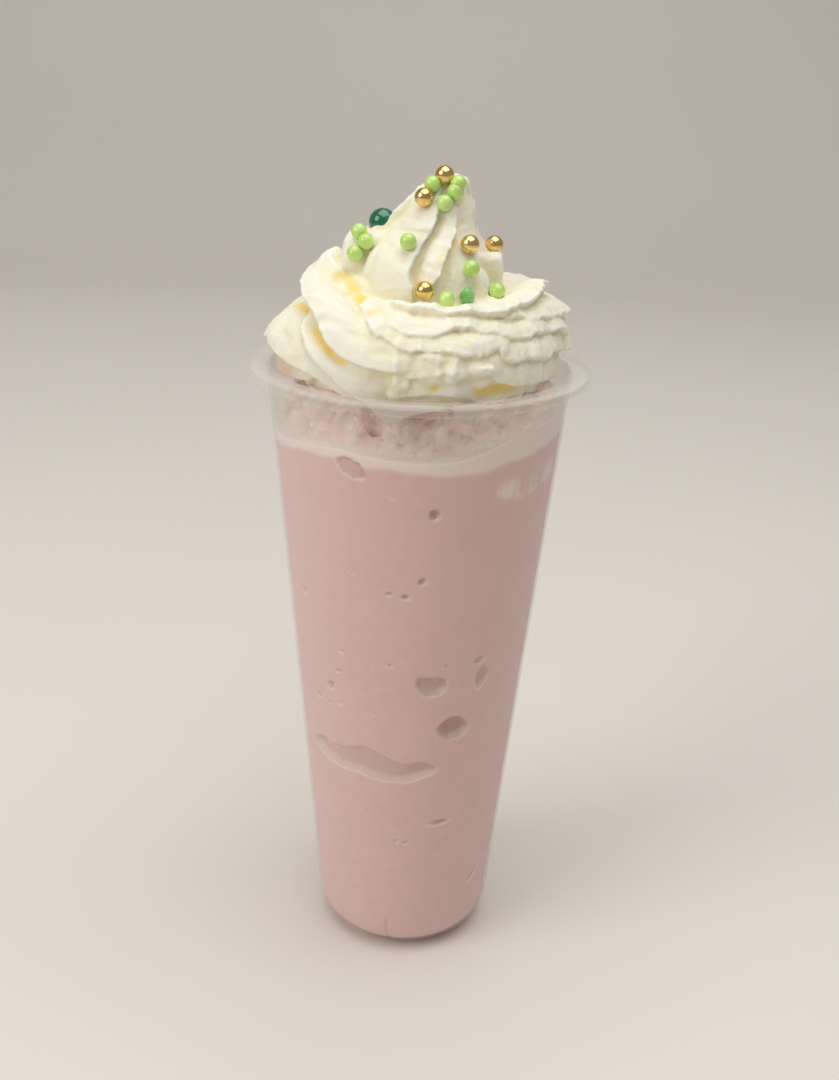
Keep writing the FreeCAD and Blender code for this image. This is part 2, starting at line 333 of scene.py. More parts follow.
def froth_material():
    m = Nodes("pink_froth")
    p = m.principled(Roughness=0.5, IOR=1.34)
    at = m.coords()
    fine = m.noise(at, 700.0, 3.0, 0.65)
    broad = m.noise(at, 70.0, 3.0, 0.55)
    pink = m.ramp(broad, [(0.3, linear(247, 218, 213)), (0.7, linear(253, 232, 226))])
    pink = m.blend(m.ramp(fine, [(0.45, (0, 0, 0)), (0.68, (0.85, 0.85, 0.85))]), pink, linear(254, 244, 238))
    # painted shade: darker pink in the froth's dips and hollows
    pink = m.blend(m.maths("MULTIPLY", m.attr("painted_hollow_shade"), 0.7, True), pink, linear(220, 180, 174))
    m.link(pink, p.inputs["Base Color"])
    p.inputs["Subsurface Weight"].default_value = 0.2
    p.inputs["Subsurface Radius"].default_value = (1.0, 0.6, 0.5)
    p.inputs["Subsurface Scale"].default_value = 0.0015
    m.link(m.ramp(fine, [(0.3, (0.35, 0.35, 0.35)), (0.7, (0.6, 0.6, 0.6))]), p.inputs["Roughness"])
    m.link(m.bump(m.maths("ADD", fine, m.maths("MULTIPLY", m.noise(at, 1900.0, 2.0), 0.6)), 0.7, 0.0006), p.inputs["Normal"])
    m.link(p.outputs[0], m.out.inputs[0])
    return m.mat


def film_material():
    """Thin cream smeared on the wall, with the pink showing through."""
    m = Nodes("thin_cream")
    p = m.principled(Roughness=0.45, IOR=1.4)
    n = m.noise(m.coords(), 500.0, 3.0, 0.6)
    m.link(m.ramp(n, [(0.3, linear(210, 195, 183)), (0.7, linear(220, 207, 194))]), p.inputs["Base Color"])
    m.link(m.bump(n, 0.4, 0.0002), p.inputs["Normal"])
    m.link(p.outputs[0], m.out.inputs[0])
    return m.mat


def cup_material():
    """Clear, faintly milky moulded plastic."""
    m = Nodes("clear_cup")
    at = m.coords()
    p = m.principled(Roughness=0.2, IOR=1.49)
    p.inputs["Base Color"].default_value = linear(232, 228, 220)
    haze = m.noise(at, 90.0, 2.0, 0.5)
    m.link(m.ramp(haze, [(0.3, (0.16, 0.16, 0.16)), (0.7, (0.26, 0.26, 0.26))]), p.inputs["Roughness"])
    m.link(m.bump(m.noise(at, 35.0, 2.0), 0.12, 0.0006), p.inputs["Normal"])
    clear = m.add("ShaderNodeBsdfTransparent")
    clear.inputs["Color"].default_value = (0.985, 0.985, 0.98, 1)
    weight = m.add("ShaderNodeLayerWeight")
    weight.inputs["Blend"].default_value = 0.35
    solid = m.maths("MULTIPLY", weight.outputs["Facing"], 0.40)
    solid = m.maths("ADD", solid, m.maths("MULTIPLY", haze, 0.07))
    mix = m.add("ShaderNodeMixShader")
    m.link(solid, mix.inputs[0])
    m.link(clear.outputs[0], mix.inputs[1])
    m.link(p.outputs[0], mix.inputs[2])
    m.link(mix.outputs[0], m.out.inputs[0])
    return m.mat


def pearl_material(name, dark, light, metallic, rough, coat, coat_rough=0.08):
    m = Nodes(name)
    p = m.principled(Roughness=rough, Metallic=metallic)
    at = m.coords()
    n = m.noise(at, 260.0, 2.0, 0.5)
    m.link(m.ramp(n, [(0.3, dark), (0.7, light)]), p.inputs["Base Color"])
    fine = m.noise(at, 1800.0, 2.0, 0.5)
    m.link(
        m.ramp(fine, [(0.3, (rough * 0.8,) * 3), (0.7, (rough * 1.25,) * 3)]),
        p.inputs["Roughness"],
    )
    m.link(m.bump(fine, 0.12, 0.00005), p.inputs["Normal"])
    p.inputs["Coat Weight"].default_value = coat
    p.inputs["Coat Roughness"].default_value = coat_rough
    if not metallic:
        p.inputs["Subsurface Weight"].default_value = 0.3
        p.inputs["Subsurface Radius"].default_value = (0.6, 1.0, 0.3)
        p.inputs["Subsurface Scale"].default_value = 0.0012
    m.link(p.outputs[0], m.out.inputs[0])
    return m.mat


def floor_material():
    m = Nodes("studio_floor")
    p = m.principled(Roughness=0.75)
    n = m.noise(m.coords(), 3.0, 2.0)
    m.link(m.ramp(n, [(0.3, linear(231, 225, 217)), (0.7, linear(234, 228, 220))]), p.inputs["Base Color"])
    m.link(p.outputs[0], m.out.inputs[0])
    return m.mat


# ---------------------------------------------------- the whipped cream swirl
# The lower coil is one fat piped rope. It starts at the knob on the left,
# falls to the front, runs round the right and the back, and climbs over its
# own start to become the peak. A section of it is named by an angle: 0 points
# away from the cup's axis, 90 up.
PATH_R = [(-130, 20.0), (-90, 22.5), (-45, 22.5), (0, 22.5), (45, 22), (90, 22), (150, 22), (190, 21), (220, 17.8), (250, 11.5), (285, 7.5), (320, 6.0)]
PATH_Z = [(-130, 194), (-90, 192), (-45, 189.5), (0, 188), (45, 189), (90, 190), (150, 190.5), (190, 192.5), (220, 197), (250, 202), (285, 205.5), (320, 207)]
# the rope's radius in its grooves
PATH_B = [(-130, 10.5), (-112, 12.0), (-90, 12.2), (-60, 12.6), (-30, 13.0), (0, 13.6), (45, 14.0), (90, 14.0), (150, 14.2), (190, 13.8), (220, 12.0), (250, 9.2), (285, 8.0), (320, 7.0)]

# Ridges along the rope: (turn, section angle, radius at the crest); how far
# the face above the crest reaches; that face's shape; how sharply it drops
# below the crest; how ragged the edge is.
COIL_RIDGES = [
    dict(pts=[(-22, 86, 14.5), (-9, 74, 16.8), (6, 66, 18.0), (13, 60, 18.4), (24, 56, 18.7), (35, 54, 18.9), (48, 56, 19.2), (65, 59, 20.0), (84, 59, 20.4), (104, 51, 19.2), (130, 43, 18.6), (160, 47, 18.8), (190, 51, 18.6), (220, 50, 16.8), (250, 47, 12.4), (290, 44, 9.5)], up=7.0, face=1.2, drop=0.8, rag=0.8),
    dict(pts=[(34, 52, 15.0), (47, 46, 18.0), (66, 40, 19.2), (90, 28, 20.8), (118, 25, 19.4), (150, 24, 19.0), (185, 29, 18.6), (220, 25, 16.2), (250, 24, 10.5)], up=9.0, face=1.25, drop=0.6, rag=1.3),
    dict(pts=[(-30, 70, 13.8), (-20, 58, 16.0), (-15, 51, 16.8), (-8, 44, 17.4), (-4, 40, 17.7), (4, 39, 17.9), (12, 43, 18.0), (17, 44, 18.0), (22, 42, 18.1), (26, 37, 18.2), (33, 37, 18.3), (39, 31, 18.5), (45, 29, 18.6), (56, 28, 18.8), (72, 22, 19.1), (87, 13, 19.5), (115, 11, 19.2), (150, 6, 18.8), (180, 10, 18.6), (215, 5, 16.4), (248, 4, 10.5)], up=9.5, face=1.25, drop=0.6, rag=1.2),
    dict(pts=[(-42, 74, 14.6), (-27, 59, 17.0), (-21, 48, 17.8), (-16, 37, 18.1), (-7, 28, 18.3), (0, 27, 18.4), (7, 28, 18.4), (11, 28, 18.4), (15, 23, 18.4), (19, 21, 18.4), (26, 22, 18.4), (31, 21, 18.4), (34, 14, 18.5), (38, 11, 18.6), (43, 11, 18.7), (52, 8, 18.8), (61, 9, 18.9), (69, 8, 18.9), (85, -2, 18.9), (110, -8, 18.6), (145, -10, 18.4), (180, -8, 18.2), (218, -14, 16.0), (248, -16, 10.5)], up=10.0, face=1.2, drop=0.6, rag=1.1),
    dict(pts=[(-128, 92, 13.5), (-112, 84, 18.2), (-100, 82, 19.6), (-90, 84, 19.2), (-80, 92, 17.2), (-72, 102, 13.6)], up=4.6, face=0.9, drop=8.5, rag=0.15),
    dict(pts=[(-128, 62, 13.0), (-112, 62, 15.6), (-96, 58, 17.3), (-84, 57, 17.8), (-76, 55, 18.0), (-66, 51, 18.2), (-57, 46, 18.4), (-48, 41, 18.6), (-42, 33, 18.8), (-36, 23, 18.9), (-29, 13, 18.9), (-21, 9, 18.6), (-14, 8, 18.4), (-7, 8, 18.0), (0, 8, 17.0), (8, 9, 15.0)], up=11.5, face=0.65, drop=0.9, lip=2.0, rag=0.3),
    dict(pts=[(-12, 4, 14.5), (-5, 3, 17.4), (2, 5, 18.3), (8, 8, 18.3), (16, 5, 18.3), (27, 6, 18.3), (29, -1, 18.3), (35, -7, 18.4), (43, -12, 18.6), (54, -14, 18.6), (66, -18, 18.6), (85, -26, 18.4), (115, -28, 18.2), (150, -30, 18.0), (190, -28, 17.6), (225, -32, 14.0)], up=11.0, face=1.05, drop=0.6, rag=1.0),
    dict(pts=[(-62, 44, 13.5), (-55, 29, 16.2), (-48, 15, 17.4), (-42, 5, 18.0), (-35, -5, 18.2), (-29, -14, 18.0), (-23, -22, 17.6), (-14, -30, 16.4), (-4, -34, 15.0)], up=9.0, face=0.45, drop=0.9, lip=4.5, rag=0.15),
    dict(pts=[(-126, 0, 14.0), (-108, -1, 18.8), (-94, -6, 20.2), (-84, -5, 20.4), (-76, -5, 20.2), (-69, -6, 19.6), (-60, -9, 18.8), (-50, -11, 18.2), (-42, -15, 17.8), (-35, -21, 17.5), (-26, -27, 17.0), (-16, -33, 16.0)], up=11.5, face=1.55, drop=2.0, rag=0.35),
    dict(pts=[(-70, 20, 15.4), (-64, 8, 16.6), (-58, 0, 17.0), (-52, -6, 17.0)], up=5.0, face=0.7, drop=3.0, rag=0.2),
    dict(pts=[(-14, -18, 15.5), (-4, -14, 17.2), (6, -12, 17.4), (18, -16, 17.3), (30, -26, 17.4), (48, -36, 17.8), (70, -42, 18.2), (100, -46, 18.2), (140, -48, 18.0), (190, -48, 17.0)], up=9.0, face=0.8, drop=1.2, rag=0.9),
    dict(pts=[(-122, -36, 16.0), (-98, -34, 20.4), (-82, -32, 20.6), (-68, -30, 19.0), (-56, -32, 16.5)], up=7.5, face=0.9, drop=1.2, rag=0.3),
]

# Narrow grooves between the first lobes: (turn, section angle, depth), width
COIL_GROOVES = [
    dict(pts=[(-56, 40, 0.5), (-52, 31, 3.0), (-48.3, 24.6, 4.2), (-43, 16.5, 4.2), (-37.5, 10.5, 3.2), (-32, 5, 2.2), (-27, 2, 0.6)], width=1.35),
    dict(pts=[(-74, 90, 1.0), (-66, 86, 2.6), (-55, 79, 2.8), (-44, 73, 2.4), (-36, 68, 2.8), (-27, 56, 2.0), (-20, 48, 0.6)], width=1.9),
    dict(pts=[(-98, 38, 1.2), (-88, 33, 3.0), (-78, 32, 3.6), (-68, 32, 2.6), (-58, 32, 0.8)], width=2.1),
]

# The peak: a leaning cone. Its ridges are (turn, height, rise over the
# grooves), and the face at a ridge's left is the broad one.
PEAK_Z = [196, 203, 208, 213, 217, 219, 221, 225, 229, 231.5, 233.2]
PEAK_X = [0, 0.5, 0.0, 0.0, 0.5, 1.5, 2.5, 4.0, 4.9, 6.5, 8.0]
PEAK_R = [25.5, 22.5, 20.5, 18.0, 15.0, 13.2, 11.8, 10.1, 8.6, 5.4, 1.6]
PEAK_RIDGES = [
    dict(pts=[(-10, 201, 1.0), (-12, 206, 4.2), (-16, 210.6, 4.4), (-13, 214.5, 4.2), (-9, 218.7, 3.9), (-10, 222.5, 3.4), (-12, 225.9, 2.8), (-16, 229.5, 1.2)], up=15.0, face=0.8, drop=0.8, rag=0.75),
    dict(pts=[(-1, 202, 1.0), (9, 210, 3.5), (20, 216.2, 3.7), (25, 219.9, 3.4), (26, 222.7, 2.9), (22, 225.6, 2.4), (18, 229, 1.0)], up=4.6, face=1.0, drop=0.8, rag=0.75),
    dict(pts=[(30, 203, 1.0), (44, 211, 3.2), (55, 217, 3.4), (62, 220.6, 3.2), (57, 225.9, 2.6), (46, 230, 1.0)], up=6.5, face=0.6, drop=1.6, rag=0.6),
    dict(pts=[(74, 203, 1.0), (90, 212, 3.2), (98, 217, 3.5), (104, 221, 3.4), (100, 226, 2.6), (92, 230.5, 1.0)], up=7.5, face=0.8, drop=1.0, rag=0.6),
    dict(pts=[(120, 203, 1.0), (138, 211, 3.4), (150, 217, 3.6), (154, 222, 3.2), (150, 227, 2.5), (144, 230.5, 1.0)], up=8.0, face=0.8, drop=1.0, rag=0.5),
    dict(pts=[(172, 202, 1.0), (190, 210, 3.4), (203, 216, 3.6), (208, 221, 3.2), (205, 226, 2.5), (198, 230.5, 1.0)], up=8.0, face=0.8, drop=1.0, rag=0.4),
    dict(pts=[(228, 203, 1.0), (246, 209, 3.0), (259, 214, 3.8), (264, 218, 3.8), (266, 222, 3.6), (270, 226, 3.0), (269, 230.5, 1.2)], up=8.0, face=0.9, drop=1.2, rag=0.7),
    dict(pts=[(293, 204, 0.5), (304, 210, 1.8), (312, 216, 1.6), (318, 221, 0.6)], up=9.0, face=0.9, drop=5.0, rag=0.2),
]


def ridge_heights(u, w, ridges, to_plane, floor, seed):
    """Height over a surface, given in plane coordinates u, w in mm, from a
    list of ridges, and how far the surface is pulled over each ridge's edge."""
    pts = np.stack([u.ravel(), w.ravel()], 1)
    best = np.zeros(len(pts))
    pull = np.zeros((len(pts), 2))
    for n, r in enumerate(ridges):
        knots = np.array(r["pts"], float)
        k = np.arange(len(knots))
        fine = np.linspace(0, len(knots) - 1, 14 * (len(knots) - 1) + 1)
        cols = [interp(list(zip(k, knots[:, i])), fine) for i in range(3)]
        high = np.maximum(cols[2] - floor(cols[0]), 0)
        line = to_plane(np.stack(cols[:2], 1))
        s = np.concatenate([[0], np.cumsum(np.hypot(*np.diff(line, axis=0).T))])
        even = np.linspace(0, s[-1], max(int(s[-1] / 0.4), 8))
        line = np.stack([np.interp(even, s, line[:, 0]), np.interp(even, s, line[:, 1])], 1)
        high = np.interp(even, s, high)
        rag = r["rag"]
        key = seed + 31 * n
        wave = line_noise(even, 5.5, key) + 0.5 * line_noise(even, 2.4, key + 7)
        torn = line_noise(even, 1.4, key + 11) * np.clip(0.2 + 1.3 * line_noise(even, 7.0, key + 12), 0, 1)
        point = np.maximum(line_noise(even, 1.7, key + 16) - 0.2, 0) * np.clip(0.5 + line_noise(even, 6.0, key + 17), 0, 1)
        high = high * (1 + rag * (0.10 * wave + 0.14 * torn + 0.55 * point))
        tang = np.gradient(line, axis=0)
        tang /= np.maximum(np.hypot(tang[:, 0], tang[:, 1]), 1e-9)[:, None]
        # the face above the crest is to the left of the line's direction
        left = np.stack([-tang[:, 1], tang[:, 0]], 1)
        swap = ease(-0.25, 0.25, line_noise(even, 9.0, key + 15))
        scallop = np.abs(line_noise(even, 4.2, key + 13)) + 0.5 * np.abs(line_noise(even, 1.9, key + 14))
        stray = 0.85 * line_noise(even, 7.5, key + 5) + 0.25 * line_noise(even, 2.0, key + 6)
        stray = stray + 1.15 * (scallop - 0.5) * (1 - 1.7 * swap)
        line = line + left * (rag * stray)[:, None]
        lo, hi = line.min(0) - 16, line.max(0) + 16
        idx = np.nonzero((pts[:, 0] > lo[0]) & (pts[:, 0] < hi[0]) & (pts[:, 1] > lo[1]) & (pts[:, 1] < hi[1]))[0]
        for a in range(0, len(idx), 8000):
            part = idx[a : a + 8000]
            q = pts[part]
            # only the crest's stretch beside these points
            near = (line[:, 0] > q[:, 0].min() - 16) & (line[:, 0] < q[:, 0].max() + 16)
            if not near.any():
                continue
            ln, lf, hg = line[near], left[near], high[near]
            d2 = (q[:, None, 0] - ln[None, :, 0]) ** 2 + (q[:, None, 1] - ln[None, :, 1]) ** 2
            j = np.argmin(d2, 1)
            d = np.sqrt(d2[np.arange(len(q)), j])
            side = ((q - ln[j]) * lf[j]).sum(1)
            up = np.clip(1 - d / r["up"], 0, 1) ** r["face"]
            if "lip" in r:
                down = np.sqrt(np.clip(1 - (d / r["lip"]) ** 2, 0, 1))
            else:
                down = np.exp(-((d / r["drop"]) ** 2))
            height = hg[j] * np.where(side > 0, up, down)
            take = height > best[part]
            best[part[take]] = height[take]
            tip = np.exp(-((d / 1.1) ** 2)) * np.minimum(hg[j], 4.0) * 0.42 * min(1.0, 0.35 + rag)
            pull[part[take]] = (-lf[j] * tip[:, None])[take]
    return best.reshape(u.shape), pull.reshape(*u.shape, 2)


AROUND = 36.0


def groove_depths(u, w, grooves, to_plane):
    pts = np.stack([u.ravel(), w.ravel()], 1)
    deep = np.zeros(len(pts))
    for g in grooves:
        knots = np.array(g["pts"], float)
        k = np.arange(len(knots))
        fine = np.linspace(0, len(knots) - 1, 16 * (len(knots) - 1) + 1)
        cols = [interp(list(zip(k, knots[:, i])), fine) for i in range(3)]
        line = to_plane(np.stack(cols[:2], 1))
        lo, hi = line.min(0) - 8, line.max(0) + 8
        idx = np.nonzero((pts[:, 0] > lo[0]) & (pts[:, 0] < hi[0]) & (pts[:, 1] > lo[1]) & (pts[:, 1] < hi[1]))[0]
        d2 = ((pts[idx][:, None] - line[None]) ** 2).sum(2)
        j = d2.argmin(1)
        d = np.sqrt(d2[np.arange(len(idx)), j])
        deep[idx] = np.maximum(deep[idx], np.maximum(cols[2][j], 0) * np.exp(-((d / g["width"]) ** 2)))
    return deep.reshape(u.shape)


def coil_mesh():
    cols, rows = 250, 700
    turn = np.linspace(-132, 318, rows)
    sec = np.linspace(-180, 180, cols, endpoint=False)
    rr = interp(PATH_R, turn)[:, None]
    zz = interp(PATH_Z, turn)[:, None]
    bb = interp(PATH_B, turn)[:, None]
    T, S = np.meshgrid(turn, sec, indexing="ij")
    mean = 16.5
    U, W = np.radians(T) * AROUND, np.radians(S) * mean

    def to_plane(p):
        return np.stack([np.radians(p[:, 0]) * AROUND, np.radians(p[:, 1]) * mean], 1)

    height, pull = ridge_heights(U, W, COIL_RIDGES, to_plane, lambda t: interp(PATH_B, t), 100)
    flat = np.stack([U.ravel(), W.ravel(), np.zeros(U.size)], 1)
    slow = (0.5 * noise(flat, 11.0, 3) + 0.3 * noise(flat, 4.5, 4)).reshape(U.shape)
    # wrinkles down the faces of the fins, strongest at the right and behind
    fins = ease(5, 45, T) * ease(265, 225, T)
    across = flat * (1.0, 0.22, 1.0)
    wrinkle = (noise(across, 1.7, 5) + 0.6 * noise(across, 0.95, 6)).reshape(U.shape)
    along = (noise(flat * (0.2, 1.0, 1.0), 1.6, 7)).reshape(U.shape)
    patchy = 0.55 + 0.45 * noise(flat, 8.0, 8).reshape(U.shape)
    slow = slow + 0.22 * fins * patchy * wrinkle + 0.30 * (1 - fins) * along
    outer = ease(152, 112, np.abs(S))
    under = ease(-34, -60, S)
    radius = bb + (np.maximum(height, under * (17.0 - bb) * ease(-125, -95, T) * ease(250, 200, T)) + slow) * outer
    radius = radius - groove_depths(U, W, COIL_GROOVES, to_plane)
    # the rope's two ends close as domes
    end = np.minimum(ease(-132, -118, T), ease(318, 304, T))
    close = np.sqrt(np.clip(1 - (1 - end) ** 2, 0, 1))
    radius = radius * np.maximum(close, 0.02)
    S2 = S + np.degrees(pull[..., 1] / np.maximum(radius, 8)) * outer
    T2 = T + np.degrees(pull[..., 0] / AROUND) * outer
    sr = np.radians(S2)
    dist = rr + radius * np.cos(sr)
    cx, cy = turned(T2)
    high = zz + radius * np.sin(sr)
    # it lies on the froth
    lowest = 178.0 + 0.5 * noise(flat, 5.0, 9).reshape(U.shape)
    high = lowest + np.where(high > lowest, high - lowest, 0.25 * (high - lowest))
    verts = np.stack([dist * cx, dist * cy, high], -1).reshape(-1, 3)
    ends = [np.mean(verts[:cols], 0), np.mean(verts[-cols:], 0)]
    return mesh_with_fans("coil", verts, grid_faces(rows, cols, True), cols, ends)


def mesh_with_fans(name, verts, faces, cols, ends):
    """A tube of rings closed by a fan at each end."""
    n = len(verts)
    verts = np.concatenate([verts, ends])
    j = np.arange(cols)
    k = (j + 1) % cols
    base = n - cols
    low = np.stack([k, j, np.full(cols, n)], 1)
    up = np.stack([base + j, base + k, np.full(cols, n + 1)], 1)
    fs = [tuple(f) for f in faces.tolist()] + [tuple(f) for f in low.tolist()] + [tuple(f) for f in up.tolist()]
    me = bpy.data.meshes.new(name)
    me.from_pydata((verts * 0.001).tolist(), [], fs)
    me.update()
    return me


def peak_mesh():
    cols, rows = 280, 130
    z = np.concatenate([np.linspace(196, 229, rows - 34, endpoint=False), 229 + 4.2 * np.sin(np.linspace(0, 1, 34) * math.pi / 2)])
    turn = np.linspace(-90, 270, cols, endpoint=False)
    Z, T = np.meshgrid(z, turn, indexing="ij")
    rz = np.interp(Z, PEAK_Z, PEAK_R)

    def to_plane(p):
        r = np.maximum(np.interp(p[:, 1], PEAK_Z, PEAK_R), 6.0)
        return np.stack([np.radians(p[:, 0]) * r, p[:, 1] - 200.0], 1)

    U, W = np.radians(T) * np.maximum(rz, 6.0), Z - 200.0
    height, pull = np.zeros(U.shape), np.zeros((*U.shape, 2))
    for shift in (-360, 0, 360):
        moved = [dict(r, pts=[(a + shift, b, c) for a, b, c in r["pts"]]) for r in PEAK_RIDGES]
        h, p = ridge_heights(U, W, moved, to_plane, lambda t: 0 * t, 900)
        better = h > height
        height = np.where(better, h, height)
        pull = np.where(better[..., None], p, pull)
    flat = np.stack([U.ravel(), W.ravel(), np.zeros(U.size)], 1)
    slow = (0.35 * noise(flat, 8.0, 13) + 0.12 * noise(flat * (1, 0.25, 1), 1.8, 14)).reshape(U.shape)
    r = np.maximum(rz - 3.4 * ease(233.0, 228.0, Z) + height * ease(233.2, 230.0, Z) + slow, 0.4)
    r = r * np.where(Z > 232.2, np.sqrt(np.clip((233.25 - Z) / 1.05, 0.02, 1)), 1)
    T2 = T + np.degrees(pull[..., 0] / np.maximum(rz, 6.0))
    cx, cy = turned(T2)
    ax = np.interp(Z, PEAK_Z, PEAK_X)
    verts = np.stack([ax + r * cx, 1.0 + r * cy, Z + 0.3 * pull[..., 1]], -1).reshape(-1, 3)
    return mesh_with_fans("peak", verts, grid_faces(rows, cols, True), cols, [np.array([0, 1, 196.0]), np.array([8.0, 1.0, 233.3])])


def blob(name, centre, radii, cols=48, rows=24, power=2.0, seed=None, torn=1.0):
    """A closed rounded lump; a power over 2 squares it off."""
    a = np.linspace(-math.pi / 2, math.pi / 2, rows + 2)[1:-1]
    b = np.linspace(0, 2 * math.pi, cols, endpoint=False)
    A, B = np.meshgrid(a, b, indexing="ij")
    c = np.array(centre, float)
    d = np.stack([np.cos(A) * np.cos(B), np.cos(A) * np.sin(B), np.sin(A)], -1).reshape(-1, 3)
    scale = (np.abs(d) ** power).sum(1) ** (-1 / power)
    v = d * scale[:, None] * np.array(radii) + c
    if seed is not None:
        v += d * (torn * min(radii) * (0.07 * noise(v, 0.6 * min(radii), seed) + 0.04 * noise(v, 0.3 * min(radii), seed + 50)))[:, None]
    return mesh_with_fans(name, v, grid_faces(rows, cols, True), cols, [c - (0, 0, radii[2]), c + (0, 0, radii[2])])


def joined(name, meshes):
    bm = bmesh.new()
    for me in meshes:
        bm.from_mesh(me)
        bpy.data.meshes.remove(me)
    me = bpy.data.meshes.new(name)
    bm.to_mesh(me)
    bm.free()
    return me


def applied(ob):
    deps = bpy.context.evaluated_depsgraph_get()
    me = bpy.data.meshes.new_from_object(ob.evaluated_get(deps))
    ob.modifiers.clear()
    old = ob.data
    ob.data = me
    bpy.data.meshes.remove(old)
    return me


def largest_part(me):
    """Keeps the mesh's largest connected part."""
    n = len(me.vertices)
    e = np.empty(len(me.edges) * 2, np.int32)
    me.edges.foreach_get("vertices", e)
    e = e.reshape(-1, 2)
    label = np.arange(n)
    while True:
        low = np.minimum(label[e[:, 0]], label[e[:, 1]])
        new = label.copy()
        np.minimum.at(new, e[:, 0], low)
        np.minimum.at(new, e[:, 1], low)
        new = new[new]
        if (new == label).all():
            break
        label = new
    ids, counts = np.unique(label, return_counts=True)
    keep = label == ids[np.argmax(counts)]
    if keep.all():
        return
    bm = bmesh.new()
    bm.from_mesh(me)
    bm.verts.ensure_lookup_table()
    bmesh.ops.delete(bm, geom=[bm.verts[i] for i in np.nonzero(~keep)[0]], context="VERTS")
    bm.to_mesh(me)
    bm.free()


def remeshed(ob, size):
    mod = ob.modifiers.new("remesh", "REMESH")
    mod.mode = "VOXEL"
    mod.voxel_size = size * 0.001
    mod.adaptivity = 0.0
    return applied(ob)


def build_cream():
    parts = [
        coil_mesh(),
        peak_mesh(),
        blob("core", (0, 0, 190), (27, 27, 14)),
        blob("seat", (0.5, 0, 181.0), (31.0, 31.0, 5.6), 96, 30, 2.6, 21),
        blob("bridge", (-16.5, -6.5, 198.5), (9.5, 9.0, 8.5), 60, 30, 2.0, 25),
        # torn lumps low at the front
        blob("lump1", (3.4, -36.6, 188.6), (4.0, 3.6, 3.4), 44, 22, 2.6, 26),
        blob("lump2", (13.0, -33.6, 186.6), (5.4, 3.4, 2.8), 44, 22, 2.6, 27),
        blob("lump3", (-5.4, -36.0, 182.8), (2.6, 2.2, 2.2), 36, 18, 2.6, 28),
        blob("lump4", (-1.2, -36.6, 184.0), (1.8, 1.6, 1.4), 36, 18, 2.4, 29),
        blob("lump5", (3.5, -37.0, 192.0), (3.6, 2.8, 2.3), 44, 22, 3.0, 31, 2.0),
        blob("lump6", (13.0, -35.6, 189.6), (6.2, 2.8, 1.8), 48, 24, 2.4, 32, 2.0),
        blob("lump7", (-4.2, -36.9, 186.6), (2.5, 2.6, 3.1), 44, 22, 3.6, 33, 2.0),
        blob("lump8", (-0.6, -37.6, 189.6), (2.2, 2.2, 1.9), 40, 20, 3.0, 34, 2.0),
        blob("lump9", (7.6, -38.0, 188.2), (2.6, 2.0, 1.7), 40, 20, 3.0, 35, 2.0),
        # the shoulder where the rope climbs into the peak
        blob("shoulder", (-12.6, 2.5, 210.8), (9.4, 8.0, 7.0), 80, 40, 3.4, 22),
        # the curl at the peak's right
        blob("curl", (16.9, -1.2, 207.3), (4.7, 4.4, 5.8), 70, 36, 6.0, 23),
        blob("fold", (12.6, -8.6, 205.0), (5.4, 4.4, 5.4), 60, 30, 2.4, 24),
    ]
    me = joined("cream", parts)
    ob = put("cream_swirl", me)
    me = remeshed(ob, 0.42)
    largest_part(me)
    return ob


def smoothed(v, e, times):
    """Vertices averaged with their neighbours."""
    count = np.bincount(e.ravel(), minlength=len(v)).astype(float)[:, None]
    count = np.maximum(count, 1)
    v = v.copy()
    for _ in range(times):
        total = np.stack([np.bincount(e[:, 0], v[e[:, 1], i], len(v)) + np.bincount(e[:, 1], v[e[:, 0], i], len(v)) for i in range(3)], 1)
        v = 0.5 * v + 0.5 * total / count
    return v


def edges_of(me):
    e = np.empty(len(me.edges) * 2, np.int32)
    me.edges.foreach_get("vertices", e)
    return e.reshape(-1, 2)


# Yellow pools where the cream's fat gathers: two ends, a radius, a weight
POOLS = [
    ((-22.7, -6.1, 206.0), (-19.0, -10.5, 205.6), 2.5, 0.5),
    ((-20.5, -6.5, 206.4), (-17.3, -15.3, 204.6), 2.7, 0.8),
    ((-17.3, -15.3, 204.6), (-15.2, -23.0, 203.3), 2.6, 0.95),
    ((-26.9, -23.6, 195.9), (-23.1, -30.1, 192.0), 2.2, 1.0),
    ((-23.1, -30.1, 192.0), (-19.2, -33.6, 190.1), 2.0, 0.8),
    ((-33.7, -0.5, 196.9), (-30.9, -5.0, 196.4), 2.6, 0.8),
    ((15.8, -35.2, 183.8), (24.1, -28.8, 183.7), 2.4, 0.8),
    ((3.5, -38.8, 185.1), (4.3, -38.8, 185.1), 1.2, 0.9),
    ((-6.2, -37.8, 187.9), (-4.9, -38.1, 187.9), 1.3, 0.8),
    ((11.4, -36.3, 196.5), (12.0, -36.3, 196.5), 0.9, 0.5),
    ((-13.1, -29.3, 201.2), (-10.5, -28.5, 201.8), 1.4, 0.45),
    ((-1.3, -17.8, 205.5), (-1.3, -17.8, 208.5), 2.4, 0.3),
    ((4.4, -16.6, 212.7), (8.2, -10.1, 216.7), 1.6, 0.35),
]


